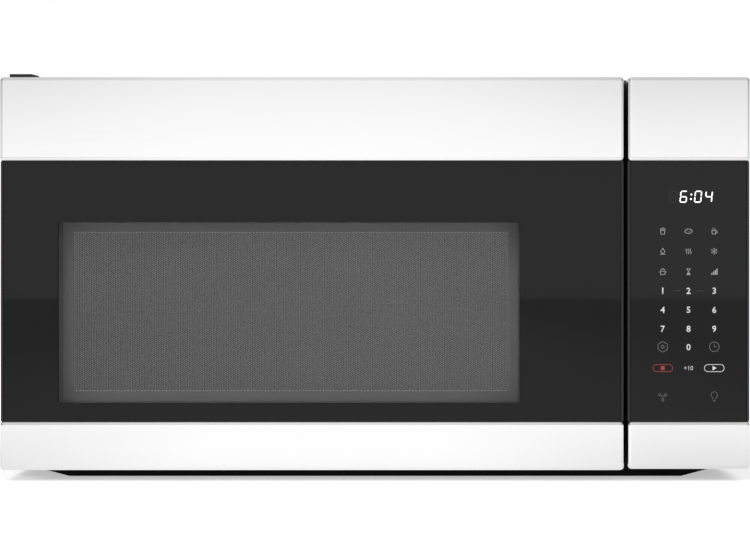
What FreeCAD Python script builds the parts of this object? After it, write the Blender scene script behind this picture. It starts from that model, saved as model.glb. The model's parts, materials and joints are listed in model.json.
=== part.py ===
"""Over the range microwave oven, 30 inch class, as a parametric assembly of separate pieces.

Frame: X to the right as seen from the front, Y to the back, Z up.
The origin is the centre of the footprint, on the underside of the base pan.
"""

import FreeCAD
import Part

import math
import os
import re

import Sketcher

VECTOR = FreeCAD.Vector
ROTATION = FreeCAD.Rotation

# Driving dimensions, in millimetres. Each one is a cell of the sheet.
SIZES = {
    # outside of the whole appliance
    "overall_width": 758.8,
    "overall_height": 414.3,
    "overall_depth": 394.0,
    "sheet_metal": 0.8,
    "case_inset": 1.2,
    "part_gap": 0.3,
    # door and control panel, seen from the front
    "front_lift": 11.4,
    "front_height": 397.8,
    "front_thick": 42.0,
    "face_gap": 1.5,
    "panel_width": 123.6,
    "panel_split": 3.8,
    "panel_rise": 1.2,
    "top_band": 85.1,
    "bottom_band": 49.3,
    "band_metal": 1.0,
    "band_edge": 3.6,
    "band_corner": 4.0,
    "band_skirt": 14.0,
    "glass_setback": 4.0,
    "glass_thick": 3.2,
    "glass_margin": 2.6,
    "glass_gap": 0.6,
    "plastic_wall": 2.5,
    # door window and its screen
    "window_from_left": 58.0,
    "window_from_right": 104.9,
    "window_from_low": 67.6,
    "window_from_high": 146.4,
    "window_rim": 4.0,
    "screen_depth": 30.0,
    "screen_metal": 0.6,
    "choke_wall": 1.0,
    "choke_deep": 10.0,
    "choke_overlap": 18.0,
    "choke_slot_wide": 4.0,
    "choke_slot_deep": 7.0,
    "choke_slot_pitch": 26.0,
    "cover_thick": 2.0,
    "inner_window_thick": 1.2,
    "grip_wide": 90.0,
    "grip_deep": 22.0,
    "grip_tall": 18.0,
    "grip_from_right": 13.0,
    # hinges
    "hinge_inset": 15.5,
    "hinge_forward": 20.0,
    "hinge_column": 25.0,
    "hinge_round": 14.0,
    "hinge_plate": 3.0,
    "hinge_leaf_wide": 25.9,
    "hinge_leaf_side": 9.5,
    "hinge_leaf_nose": 6.0,
    "hinge_leaf_slope": 3.5,
    "hinge_sweep": 9.0,
    "hinge_leaf_long": 70.0,
    "hinge_pin_radius": 3.0,
    "hinge_pin_long": 16.0,
    "bush_radius": 5.0,
    "bush_play": 0.05,
    "lower_leaf": 2.5,
    "lower_flange_tall": 38.0,
    # base pan
    "pan_depth": 12.0,
    "pan_floor_half": 318.0,
    "pan_slope_run": 45.0,
    "filter_wide": 150.0,
    "filter_long": 193.0,
    "filter_thick": 9.0,
    "filter_offset": 205.0,
    "filter_ledge": 6.0,
    "filter_border": 8.0,
    "lens_wide": 120.0,
    "lens_long": 60.0,
    "lens_thick": 3.0,
    "lens_ledge": 5.0,
    "lens_from_face": 34.0,
    "lamp_tall": 20.0,
    # oven cavity, inside
    "cavity_from_left": 45.4,
    "cavity_from_right": 66.0,
    "cavity_from_back": 21.5,
    "cavity_from_top": 107.3,
    "cavity_floor": 56.0,
    "recess_depth": 3.0,
    "recess_edge": 13.5,
    "recess_slope": 6.0,
    # turntable
    "tray_edge": 3.5,
    "tray_glass": 5.0,
    "tray_rim": 9.0,
    "tray_rim_run": 12.0,
    "roller_radius": 7.4,
    "roller_wide": 8.0,
    "roller_play": 0.2,
    "ring_radius": 100.0,
    "ring_wide": 8.0,
    "ring_tall": 6.0,
    "axle_radius": 2.0,
    "axle_play": 0.05,
    "axle_cap": 3.4,
    "axle_cap_thick": 2.0,
    "coupler_radius": 14.0,
    "coupler_lobe": 26.0,
    "coupler_lobe_wide": 8.0,
    "drive_shaft_radius": 3.5,
    "floor_hole_radius": 6.0,
    "motor_radius": 25.0,
    "motor_tall": 18.0,
    "motor_ear": 34.0,
    "motor_ear_wide": 12.0,
    # waveguide and magnetron
    "guide_wide": 110.0,
    "guide_tall": 84.0,
    "guide_thick": 40.0,
    "guide_middle_back": 26.0,
    "guide_from_top": 46.0,
    "port_wide": 70.0,
    "port_tall": 56.0,
    "mica_thick": 0.8,
    "mica_border": 6.0,
    "magnetron_back": 34.0,
    "yoke_long": 65.0,
    "yoke_size": 80.0,
    "yoke_metal": 3.0,
    "fin_metal": 1.0,
    "fin_count": 5,
    "anode_radius": 18.0,
    "antenna_radius": 8.0,
    "antenna_long": 22.0,
    "antenna_play": 1.0,
    "filter_box": 28.0,
    # electrical compartment
    "shelf_height": 40.0,
    "core_long": 100.0,
    "core_tall": 84.0,
    "core_thick": 62.0,
    "core_leg": 17.0,
    "core_window": 16.0,
    "core_from_face": 92.0,
    "coil_bulge": 13.0,
    "capacitor_round": 16.0,
    "capacitor_flat": 24.0,
    "capacitor_tall": 92.0,
    "shroud_edge": 22.0,
    "shroud_from_back": 46.0,
    "fan_radius": 60.0,
    "fan_play": 4.0,
    "fan_hub": 14.0,
    "fan_blade": 1.6,
    "fan_chord": 34.0,
    "fan_tilt": 32.0,
    "fan_deep": 16.0,
    "fan_motor_size": 56.0,
    "fan_motor_deep": 26.0,
    "fan_shaft": 2.5,
    "fan_height": 205.0,
    # exhaust blower above the cavity
    "wheel_radius": 36.0,
    "wheel_inner": 28.0,
    "wheel_long": 84.0,
    "wheel_disc": 1.5,
    "blade_count": 20,
    "blade_metal": 0.9,
    "scroll_gap": 8.0,
    "scroll_metal": 1.2,
    "scroll_mouth": 30.0,
    "scroll_long": 58.0,
    "blower_shaft": 4.0,
    "blower_motor_long": 40.0,
    "blower_motor_radius": 34.0,
    "blower_from_back": 80.0,
    "blower_drop": 55.0,
    # top of the case
    "grille_wide": 600.0,
    "grille_deep": 48.0,
    "grille_tall": 8.0,
    "grille_from_face": 8.0,
    "grille_slot_wide": 52.0,
    "grille_slot_deep": 5.4,
    "grille_columns": 10,
    "grille_rows": 5,
    "charcoal_tall": 11.0,
    "duct_wide": 254.0,
    "duct_deep": 83.0,
    "duct_lap": 9.0,
    "bolt_hole": 3.3,
    "bolt_spread": 560.0,
    "bolt_nut": 8.0,
    "bolt_nut_tall": 8.0,
    "bolt_back": 20.0,
    "cord_hole": 11.0,
    "cord_bore": 6.0,
    "cord_flange": 15.0,
    "cord_from_right": 60.0,
    "cord_from_back": 40.0,
    "hook_slot_wide": 26.0,
    "hook_slot_tall": 6.0,
    "hook_slot_spread": 480.0,
    "hook_slot_up": 30.0,
    "screw_head": 4.0,
    "screw_head_tall": 1.8,
    # latch
    "latch_from_right": 26.0,
    "latch_wide": 6.0,
    "latch_bar_deep": 7.0,
    "latch_low": 163.0,
    "latch_high": 259.0,
    "hook_tall": 22.0,
    "hook_reach": 20.5,
    "hook_nose": 5.0,
    "hook_nose_long": 6.0,
    "latch_travel": 4.0,
    "latch_slot_play": 4.0,
    "spring_radius": 4.0,
    "spring_wire": 0.8,
    "spring_strip": 2.0,
    "spring_turns": 8,
    "spring_long": 26.0,
    "switch_deep": 18.0,
    "switch_tall": 10.0,
    "switch_button": 1.5,
    "switch_travel": 1.2,
    # control panel inside
    "display_wide": 56.0,
    "display_tall": 22.0,
    "display_from_right": 26.0,
    "display_from_top": 110.0,
    "board_thick": 1.6,
    "board_back": 10.0,
    "board_margin": 5.0,
}

# Places worked out from the sizes, kept as formulas.
PLACES = {
    "half_wide": "overall_width / 2",
    "front": "-overall_depth / 2",
    "back": "overall_depth / 2",
    "door_back": "front + front_thick",
    "face": "door_back + face_gap",
    "face_in": "face + sheet_metal",
    "back_in": "back - sheet_metal",
    "door_left": "-half_wide",
    "panel_left": "half_wide - panel_width",
    "door_right": "panel_left - panel_split",
    "door_low": "front_lift",
    "door_high": "front_lift + front_height",
    "panel_low": "door_low + panel_rise",
    "glass_low": "front_lift + bottom_band",
    "glass_high": "door_high - top_band",
    "glass_front": "front + glass_setback",
    "glass_back": "glass_front + glass_thick",
    "web_back": "glass_back + plastic_wall",
    "case_high": "overall_height - hinge_plate",
    "case_left": "-half_wide + case_inset",
    "case_right": "half_wide - case_inset",
    "pan_top": "pan_depth + sheet_metal",
    "case_under": "case_high - sheet_metal",
    "window_left": "door_left + window_from_left",
    "window_right": "door_right - window_from_right",
    "window_low": "door_low + window_from_low",
    "window_high": "door_high - window_from_high",
    "screen_front": "front + screen_depth",
    "screen_back": "screen_front + screen_metal",
    "cover_front": "door_back - cover_thick",
    "cavity_left": "door_left + cavity_from_left",
    "cavity_right": "door_right - cavity_from_right",
    "cavity_width": "cavity_right - cavity_left",
    "cavity_top": "case_high - cavity_from_top",
    "cavity_height": "cavity_top - cavity_floor",
    "cavity_back": "back_in - cavity_from_back",
    "cavity_depth": "cavity_back - face_in",
    "cavity_middle": "(cavity_left + cavity_right) / 2",
    "recess_radius": "cavity_depth / 2 - recess_edge",
    "tray_radius": "cavity_depth / 2 - tray_edge",
    "turn_y": "(face_in + cavity_back) / 2",
    "recess_floor": "cavity_floor - recess_depth",
    "roller_z": "recess_floor + roller_play + roller_radius",
    "tray_under": "roller_z + roller_radius + roller_play",
    "hinge_x": "door_left + hinge_inset",
    "hinge_y": "face - hinge_forward",
    "leaf_left": "hinge_x - hinge_leaf_side",
    "leaf_right": "leaf_left + hinge_leaf_wide",
    "lower_leaf_low": "pan_top + part_gap",
    "guide_left": "cavity_right + sheet_metal",
    "guide_right": "guide_left + guide_thick",
    "guide_y": "turn_y + guide_middle_back",
    "guide_z": "cavity_top - guide_from_top",
    "magnetron_y": "turn_y + magnetron_back",
    "magnetron_right": "guide_right + yoke_long",
    "shelf_top": "shelf_height + sheet_metal",
    "bay_left": "cavity_right + sheet_metal",
    "bay_right": "case_right - sheet_metal",
    "bay_middle": "(bay_left + bay_right) / 2",
    "shroud_y": "back_in - shroud_from_back",
    "fan_reach": "fan_radius + fan_play",
    "shroud_low": "fan_height - fan_reach - shroud_edge",
    "blower_y": "back_in - blower_from_back",
    "blower_z": "case_under - blower_drop",
    "scroll_radius": "wheel_radius + scroll_gap",
    "latch_x": "door_right - latch_from_right",
    "latch_bar_low": "latch_low - hook_tall / 2 - 12",
    "hook_tip": "door_back + hook_reach",
}


doc = FreeCAD.newDocument("over_range_microwave")
sheet = doc.addObject("Spreadsheet::Sheet", "Sizes")
places = doc.addObject("App::VarSet", "Places")
PIECES = []


def fill_sheet():
    """Writes every driving dimension to its own cell, under its own alias."""
    for row, (alias, number) in enumerate(SIZES.items(), 1):
        sheet.set(f"A{row}", alias)
        sheet.set(f"B{row}", str(number))
        sheet.setAlias(f"B{row}", alias)
    doc.recompute()


def formula(text):
    """Points each named size at its cell and each named place at its formula."""

    def point(match):
        word = match.group(0)
        if word in SIZES:
            return "Sizes." + word
        if word in PLACES:
            return "Places." + word
        return word

    return re.sub(r"[A-Za-z_]\w*", point, str(text))


def fill_places():
    """Keeps each worked-out place as a bound property."""
    for name, text in PLACES.items():
        places.addProperty("App::PropertyFloat", name)
        places.setExpression(name, formula(text))
    doc.recompute()


def bind(thing, **formulas):
    """Binds properties; a double underscore stands for a dot in the property's path."""
    for name, text in formulas.items():
        thing.setExpression(name.replace("__", "."), formula(text))
    return thing


def move(thing, x="0", y="0", z="0"):
    """Puts a thing's own origin at a place."""
    return bind(thing, Placement__Base__x=x, Placement__Base__y=y, Placement__Base__z=z)


def piece(label, thing):
    """Names a finished piece after the node that it becomes."""
    thing.Label = label
    PIECES.append(thing)
    return thing


def block(name, x, y, z):
    """A rectangular block between two places along each axis."""
    box = doc.addObject("Part::Box", name)
    for size, axis, (low, high) in (("Length", "x", x), ("Width", "y", y), ("Height", "z", z)):
        box.setExpression(size, formula(f"({high}) - ({low})"))
        box.setExpression(f"Placement.Base.{axis}", formula(low))
    return box


AXIS_TURNS = {
    "x": ROTATION(VECTOR(0, 1, 0), 90),
    "y": ROTATION(VECTOR(1, 0, 0), -90),
    "z": ROTATION(),
}


def rod(name, axis, radius, span, at):
    """A round bar along one axis; span is its two ends, at is its place across the axis."""
    bar = doc.addObject("Part::Cylinder", name)
    bar.Placement = FreeCAD.Placement(VECTOR(), AXIS_TURNS[axis])
    bind(bar, Radius=radius, Height=f"({span[1]}) - ({span[0]})")
    across = [other for other in "xyz" if other != axis]
    move(bar, **{axis: span[0], across[0]: at[0], across[1]: at[1]})
    return bar


def join(name, *things):
    """One solid of several that touch or overlap."""
    fused = doc.addObject("Part::MultiFuse", name)
    fused.Shapes = list(things)
    fused.Refine = True
    return fused


def together(name, *things):
    """A group of separate solids that share one node."""
    compound = doc.addObject("Part::Compound", name)
    compound.Links = list(things)
    return compound


def cut(name, base, *tools):
    """The base with every tool taken out of it."""
    result = doc.addObject("Part::Cut", name)
    result.Base = base
    result.Tool = tools[0] if len(tools) == 1 else together(name + "_tools", *tools)
    result.Refine = True
    return result


def body(name):
    """An empty design body."""
    return doc.addObject("PartDesign::Body", name)


SKETCH_PLANES = {"XY": ("XY_Plane", "({})"), "XZ": ("XZ_Plane", "-({})"), "YZ": ("YZ_Plane", "({})")}


def sketch_on(owner, name, plane, offset="0"):
    """An empty sketch on one of the body's own planes, moved along that plane's axis."""
    role, sign = SKETCH_PLANES[plane]
    sketch = owner.newObject("Sketcher::SketchObject", name)
    support = next(o for o in owner.Origin.OriginFeatures if o.Role == role)
    sketch.AttachmentSupport = [(support, "")]
    sketch.MapMode = "FlatFace"
    sketch.setExpression("AttachmentOffset.Base.z", formula(sign.format(offset)))
    return sketch


def hold_point(sketch, item, end, x, y):
    """Fixes one point of a sketch at two formulas from the sketch's origin."""
    for kind, text in (("DistanceX", x), ("DistanceY", y)):
        index = sketch.addConstraint(Sketcher.Constraint(kind, -1, 1, item, end, 1.0))
        sketch.setExpression(f"Constraints[{index}]", formula(text))


def outline(sketch, points):
    """A closed outline of straight lines through the given pairs of formulas."""
    count = len(points)
    first = sketch.GeometryCount
    ring = [2 * math.pi * i / count for i in range(count + 1)]
    spots = [VECTOR(math.cos(a), math.sin(a), 0) for a in ring]
    for start, end in zip(spots, spots[1:]):
        sketch.addGeometry(Part.LineSegment(start, end), False)
    for i in range(count):
        following = first + (i + 1) % count
        sketch.addConstraint(Sketcher.Constraint("Coincident", first + i, 2, following, 1))
    for i, (x, y) in enumerate(points):
        hold_point(sketch, first + i, 1, x, y)
    return sketch


def rectangle(sketch, x, y):
    """A rectangle between two formulas each way."""
    return outline(sketch, [(x[0], y[0]), (x[1], y[0]), (x[1], y[1]), (x[0], y[1])])


def circle(sketch, x, y, radius):
    """A circle about a point."""
    item = sketch.addGeometry(Part.Circle(VECTOR(1, 1, 0), VECTOR(0, 0, 1), 1), False)
    hold_point(sketch, item, 3, x, y)
    index = sketch.addConstraint(Sketcher.Constraint("Radius", item, 1.0))
    sketch.setExpression(f"Constraints[{index}]", formula(radius))
    return sketch


def pad(owner, sketch, length):
    """Raises a sketch towards the plus end of its axis."""
    feature = owner.newObject("PartDesign::Pad", sketch.Name + "_pad")
    feature.Profile = sketch
    feature.Reversed = "XZ_Plane" in sketch.AttachmentSupport[0][0].Role
    bind(feature, Length=length)
    owner.Tip = feature
    doc.recompute()
    return feature


def pocket(owner, sketch, length):
    """Sinks a sketch towards the plus end of its axis."""
    feature = owner.newObject("PartDesign::Pocket", sketch.Name + "_pocket")
    feature.Profile = sketch
    feature.Reversed = "XZ_Plane" not in sketch.AttachmentSupport[0][0].Role
    bind(feature, Length=length)
    before = owner.Shape.Volume
    owner.Tip = feature
    doc.recompute()
    if owner.Shape.Volume >= before:
        raise RuntimeError(f"{feature.Name} took nothing away")
    return feature


def axis_of(owner, role):
    """One of a body's own axes, as a feature refers to it."""
    return (next(o for o in owner.Origin.OriginFeatures if o.Role == role), [""])


def revolve(owner, sketch, role):
    """Turns a sketch once round one of the body's axes."""
    feature = owner.newObject("PartDesign::Revolution", sketch.Name + "_turned")
    feature.Profile = sketch
    feature.ReferenceAxis = axis_of(owner, role)
    feature.Angle = 360
    owner.Tip = feature
    doc.recompute()
    return feature


def round_edges(owner, radius, wanted):
    """Rounds the edges of a body's tip that pass a test."""
    base = owner.Tip
    names = [f"Edge{i}" for i, edge in enumerate(base.Shape.Edges, 1) if wanted(edge)]
    feature = owner.newObject("PartDesign::Fillet", base.Name + "_round")
    feature.Base = (base, names)
    bind(feature, Radius=radius)
    owner.Tip = feature
    doc.recompute()
    return feature


def runs_along(edge, axis):
    """Whether a straight edge runs along one axis."""
    box = edge.BoundBox
    lengths = {"x": box.XLength, "y": box.YLength, "z": box.ZLength}
    return lengths.pop(axis) > 1e-3 and max(lengths.values()) < 1e-3


def repeat_round(owner, feature, role, count):
    """Repeats a feature all the way round an axis."""
    pattern = owner.newObject("PartDesign::PolarPattern", feature.Name + "_round_pattern")
    pattern.Originals = [feature]
    pattern.Axis = axis_of(owner, role)
    pattern.Angle = 360
    bind(pattern, Occurrences=count)
    owner.Tip = pattern
    doc.recompute()
    return pattern


def repeat_along(owner, features, role, length, count):
    """Repeats features evenly along an axis, over a given length."""
    pattern = owner.newObject("PartDesign::LinearPattern", features[0].Name + f"_along_{role[0]}")
    pattern.Originals = features
    pattern.Direction = axis_of(owner, role)
    bind(pattern, Length=length, Occurrences=count)
    owner.Tip = pattern
    doc.recompute()
    return pattern


# ---------------------------------------------------------------- cabinet


def make_case():
    """Folded outer case, open below, with the holes of its top and the bolt nuts under it."""
    shell = cut(
        "case_shell",
        block("case_outer", ("case_left", "case_right"), ("face", "back_in"), ("pan_top", "case_high")),
        block(
            "case_hollow",
            ("case_left + sheet_metal", "case_right - sheet_metal"),
            ("face - 1", "back"),
            ("pan_top - 1", "case_under"),
        ),
        block("case_grille_hole", ("-grille_wide / 2", "grille_wide / 2"),
              ("face + grille_from_face", "face + grille_from_face + grille_deep"),
              ("case_under - 1", "case_high + 1")),
        block("case_duct_hole", ("cavity_middle - duct_wide / 2", "cavity_middle + duct_wide / 2"),
              ("blower_y - duct_deep / 2", "blower_y + duct_deep / 2"), ("case_under - 1", "case_high + 1")),
        rod("case_cord_hole", "z", "cord_hole", ("case_under - 1", "case_high + 1"),
            ("case_right - cord_from_right", "back_in - cord_from_back")),
    )
    nuts = [
        rod(f"case_nut_{side}", "z", "bolt_nut", ("case_under - bolt_nut_tall", "case_under"),
            (f"{sign} bolt_spread / 2", "bolt_back"))
        for side, sign in (("left", "-"), ("right", ""))
    ]
    holes = [
        rod(f"case_bolt_{side}", "z", "bolt_hole", ("case_under - bolt_nut_tall - 1", "case_high + 1"),
            (f"{sign} bolt_spread / 2", "bolt_back"))
        for side, sign in (("left", "-"), ("right", ""))
    ]
    piece("outer_case", cut("case", join("case_with_nuts", shell, *nuts), *holes))


def make_rear_plate():
    """Rear plate with the two slots that hang on the wall plate's tabs."""
    slots = [
        block(
            f"rear_slot_{side}",
            (f"{sign} hook_slot_spread / 2 - hook_slot_wide / 2",
             f"{sign} hook_slot_spread / 2 + hook_slot_wide / 2"),
            ("back_in - 1", "back + 1"),
            ("pan_top + hook_slot_up", "pan_top + hook_slot_up + hook_slot_tall"),
        )
        for side, sign in (("left", "-"), ("right", ""))
    ]
    plate = block("rear_blank", ("case_left", "case_right"), ("back_in", "back"), ("pan_top", "case_high"))
    piece("rear_plate", cut("rear", plate, *slots))


def pan_section(name, lift, y_low, y_high):
    """The pan's dished section, flat in the middle and sloped at both ends, run from front to back."""
    owner = body(name)
    section = sketch_on(owner, name + "_section", "XZ", y_low)
    outline(
        section,
        [
            ("-pan_floor_half", lift),
            ("pan_floor_half", lift),
            ("pan_floor_half + pan_slope_run", f"pan_depth + {lift}"),
            ("-pan_floor_half - pan_slope_run", f"pan_depth + {lift}"),
        ],
    )
    pad(owner, section, f"({y_high}) - ({y_low})")
    return owner


def make_base_pan():
    """Base pan: a shallow dish with a flat flange, two filter openings and the lamp opening."""
    flange = block("pan_flange", ("case_left", "case_right"), ("face", "back"), ("pan_depth", "pan_top"))
    dish = pan_section("pan_dish", "0", "face", "back")
    hollow = pan_section("pan_hollow", "sheet_metal", "face_in", "back_in")
    openings = [
        block(
            f"pan_filter_hole_{side}",
            (f"{sign} filter_offset - filter_wide / 2 + filter_ledge",
             f"{sign} filter_offset + filter_wide / 2 - filter_ledge"),
            ("turn_y - filter_long / 2 + filter_ledge", "turn_y + filter_long / 2 - filter_ledge"),
            ("-1", "pan_depth"),
        )
        for side, sign in (("left", "-"), ("right", ""))
    ]
    lamp = block(
        "pan_lamp_hole",
        ("-lens_wide / 2 + lens_ledge", "lens_wide / 2 - lens_ledge"),
        ("face + lens_from_face + lens_ledge", "face + lens_from_face + lens_long - lens_ledge"),
        ("-1", "pan_depth"),
    )
    piece("base_pan", cut("pan", join("pan_blank", flange, dish), hollow, lamp, *openings))


def make_filters():
    """Two grease filters, each an aluminium frame round a mesh pad, resting on the pan's ledges."""
    for side, sign in (("left", "-"), ("right", "")):
        middle = f"{sign} filter_offset"
        wide = (f"{middle} - filter_wide / 2", f"{middle} + filter_wide / 2")
        long = ("turn_y - filter_long / 2", "turn_y + filter_long / 2")
        low = "sheet_metal + part_gap"
        inner_wide = (f"{wide[0]} + filter_border", f"{wide[1]} - filter_border")
        inner_long = (f"{long[0]} + filter_border", f"{long[1]} - filter_border")
        frame = cut(
            f"filter_frame_{side}",
            block(f"filter_rim_{side}", wide, long, (low, f"{low} + filter_thick")),
            block(f"filter_window_{side}", inner_wide, inner_long, ("0", "filter_thick * 2")),
        )
        mesh = block(f"filter_mesh_{side}", inner_wide, inner_long,
                     (f"{low} + 1", f"{low} + filter_thick - 1"))
        piece(f"grease_filter_{side}", together(f"filter_{side}", frame, mesh))


def make_cooktop_lamp():
    """Lens over the cooktop lamp, and the lamp box above it."""
    wide = ("-lens_wide / 2", "lens_wide / 2")
    long = ("face + lens_from_face", "face + lens_from_face + lens_long")
    lens = body("lens")
    plate = sketch_on(lens, "lens_outline", "XY", "sheet_metal")
    pad(lens, rectangle(plate, wide, long), "lens_thick")
    round_edges(lens, "lens_ledge", lambda edge: runs_along(edge, "z"))
    piece("cooktop_lamp_lens", lens)
    low = "sheet_metal + lens_thick"
    box = cut(
        "lamp_box",
        block("lamp_box_outer", (f"{wide[0]} + lens_ledge", f"{wide[1]} - lens_ledge"),
              (f"{long[0]} + lens_ledge", f"{long[1]} - lens_ledge"), (low, f"{low} + lamp_tall")),
        block("lamp_box_inner",
              (f"{wide[0]} + lens_ledge + sheet_metal", f"{wide[1]} - lens_ledge - sheet_metal"),
              (f"{long[0]} + lens_ledge + sheet_metal", f"{long[1]} - lens_ledge - sheet_metal"),
              (f"{low} - 1", f"{low} + lamp_tall - sheet_metal")),
    )
    leds = [
        rod(f"lamp_led_{i}", "z", "lens_ledge", (f"{low} + lamp_tall - 2 * sheet_metal - 3",
                                                f"{low} + lamp_tall - sheet_metal"),
            (f"{(i - 1)} * lens_wide / 4", "face + lens_from_face + lens_long / 2"))
        for i in range(3)
    ]
    piece("cooktop_lamp", together("lamp", box, *leds))


def make_front_plate():
    """Face of the oven: the sheet that the door closes on, with its opening and latch slots."""
    slots = [
        block(
            f"face_latch_slot_{name}",
            ("latch_x - latch_wide / 2 - latch_slot_play", "latch_x + latch_wide / 2 + latch_slot_play"),
            ("face - 1", "face_in + 1"),
            (f"{z} - hook_tall / 2 - latch_slot_play",
             f"{z} + hook_tall / 2 + latch_slot_play + latch_travel"),
        )
        for name, z in (("low", "latch_low"), ("high", "latch_high"))
    ]
    leaf_slot = block(
        "face_hinge_slot",
        ("hinge_x - hinge_leaf_nose - part_gap", "leaf_right + part_gap"),
        ("face - 1", "face_in + 1"),
        ("pan_top - 1", "lower_leaf_low + lower_leaf + part_gap"),
    )
    plate = block("face_blank", ("case_left + sheet_metal", "panel_left + hinge_inset"), ("face", "face_in"),
                  ("pan_top", "case_under"))
    opening = block("face_opening", ("cavity_left", "cavity_right"), ("face - 1", "face_in + 1"),
                    ("cavity_floor", "cavity_top"))
    piece("front_plate", cut("face_plate", plate, opening, leaf_slot, *slots))


def make_cavity():
    """Oven cavity: a folded wrap for sides and roof, a dished floor and a back plate."""
    outer_x = ("cavity_left - sheet_metal", "cavity_right + sheet_metal")
    outer_z = ("cavity_floor - sheet_metal", "cavity_top + sheet_metal")
    wrap = cut(
        "wrap",
        block("wrap_outer", outer_x, ("face_in", "cavity_back"), outer_z),
        block("wrap_inner", ("cavity_left", "cavity_right"), ("face_in - 1", "cavity_back + 1"),
              ("cavity_floor - sheet_metal - 1", "cavity_top")),
        block("wrap_port", ("cavity_right - 1", "cavity_right + sheet_metal + 1"),
              ("guide_y - port_wide / 2", "guide_y + port_wide / 2"),
              ("guide_z - port_tall / 2", "guide_z + port_tall / 2")),
    )
    piece("cavity_wrap", wrap)
    piece("cavity_back", block("cavity_rear", outer_x, ("cavity_back", "cavity_back + sheet_metal"), outer_z))
    floor = body("floor")
    plate = sketch_on(floor, "floor_outline", "XY", "cavity_floor - sheet_metal")
    rectangle(plate, ("-cavity_width / 2", "cavity_width / 2"), ("-cavity_depth / 2", "cavity_depth / 2"))
    circle(plate, "0", "0", "recess_radius + recess_slope / 2")
    pad(floor, plate, "sheet_metal")
    dish = sketch_on(floor, "floor_dish", "XZ")
    outline(
        dish,
        [
            ("floor_hole_radius", "recess_floor - sheet_metal"),
            ("recess_radius", "recess_floor - sheet_metal"),
            ("recess_radius + recess_slope", "cavity_floor - sheet_metal"),
            ("recess_radius + recess_slope", "cavity_floor"),
            ("recess_radius", "recess_floor"),
            ("floor_hole_radius", "recess_floor"),
        ],
    )
    revolve(floor, dish, "Z_Axis")
    move(floor, x="cavity_middle", y="turn_y")
    piece("cavity_floor", floor)


def make_turntable():
    """Motor under the floor, drive coupler, glass tray, roller ring and its three rollers."""
    here = ("cavity_middle", "turn_y")
    ear_high = "recess_floor - sheet_metal"
    ear_low = f"{ear_high} - 2 * sheet_metal"
    motor = join(
        "turn_motor_blank",
        rod("turn_motor_can", "z", "motor_radius", (f"{ear_low} - motor_tall", ear_low), here),
        block("turn_motor_ears", ("cavity_middle - motor_ear", "cavity_middle + motor_ear"),
              ("turn_y - motor_ear_wide / 2", "turn_y + motor_ear_wide / 2"), (ear_low, ear_high)),
    )
    bore = rod("turn_motor_bore", "z", "drive_shaft_radius + bush_play",
               (f"{ear_low} - motor_tall + 3 * sheet_metal", f"{ear_high} + 1"), here)
    piece("turntable_motor", cut("turn_motor", motor, bore))

    lobes = []
    lugs = []
    for i in range(3):
        turn = ROTATION(VECTOR(0, 0, 1), 120 * i)
        lobe = block(f"coupler_lobe_{i}", ("0", "coupler_lobe"), ("0", "coupler_lobe_wide"),
                     ("roller_z - axle_radius", "tray_under"))
        lobe.Placement.Rotation = turn
        bind(lobe, Placement__Base__x=f"cavity_middle + sin({120 * i}) * coupler_lobe_wide / 2",
             Placement__Base__y=f"turn_y - cos({120 * i}) * coupler_lobe_wide / 2")
        lobes.append(lobe)
        lugs.append(rod(f"tray_lug_{i}", "z", "coupler_lobe_wide / 2",
                        ("roller_z + axle_radius", "tray_under"),
                        (f"cavity_middle + cos({120 * i + 60}) * coupler_lobe * 0.85",
                         f"turn_y + sin({120 * i + 60}) * coupler_lobe * 0.85")))
    hub = rod("coupler_hub", "z", "coupler_radius",
              ("roller_z - axle_radius - axle_cap_thick", "tray_under"), here)
    shaft = rod("coupler_shaft", "z", "drive_shaft_radius",
                (f"{ear_low} - motor_tall + 4 * sheet_metal", "roller_z"), here)
    piece("drive_coupler", join("coupler", hub, shaft, *lobes))

    tray = body("tray_plate")
    section = sketch_on(tray, "tray_section", "XZ")
    outline(
        section,
        [
            ("0", "tray_under"),
            ("tray_radius - tray_rim_run", "tray_under"),
            ("tray_radius", "tray_under + tray_rim"),
            ("tray_radius", "tray_under + tray_rim + tray_glass * 0.8"),
            ("tray_radius - tray_glass", "tray_under + tray_rim + tray_glass * 0.8"),
            ("tray_radius - tray_rim_run - tray_glass / 2", "tray_under + tray_glass"),
            ("0", "tray_under + tray_glass"),
        ],
    )
    revolve(tray, section, "Z_Axis")
    move(tray, x="cavity_middle", y="turn_y")
    piece("glass_tray", join("tray", tray, *lugs))

    ring = cut(
        "ring_hoop",
        rod("ring_outer", "z", "ring_radius + ring_wide / 2",
            ("roller_z - ring_tall / 2", "roller_z + ring_tall / 2"), here),
        rod("ring_inner", "z", "ring_radius - ring_wide / 2",
            ("roller_z - ring_tall", "roller_z + ring_tall"), here),
    )
    roller_start = "ring_radius + ring_wide / 2 + part_gap"
    roller_end = f"{roller_start} + roller_wide"
    stubs = []
    for i, name in enumerate(("a", "b", "c")):
        angle = 90 + 120 * i
        for part, radius, start, end in (
            ("axle", "axle_radius", "ring_radius", f"{roller_end} + part_gap + axle_cap_thick"),
            ("cap", "axle_cap", f"{roller_end} + part_gap", f"{roller_end} + part_gap + axle_cap_thick"),
        ):
            stubs.append(spoke(f"ring_{part}_{name}", radius, start, end, angle))
        wheel = cut(
            f"roller_wheel_{name}",
            spoke(f"roller_blank_{name}", "roller_radius", roller_start, roller_end, angle),
            spoke(f"roller_bore_{name}", "axle_radius + axle_play", "ring_radius", f"{roller_end} + 5",
                  angle),
        )
        piece(f"roller_{name}", wheel)
    piece("roller_ring", join("ring", ring, *stubs))


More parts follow.
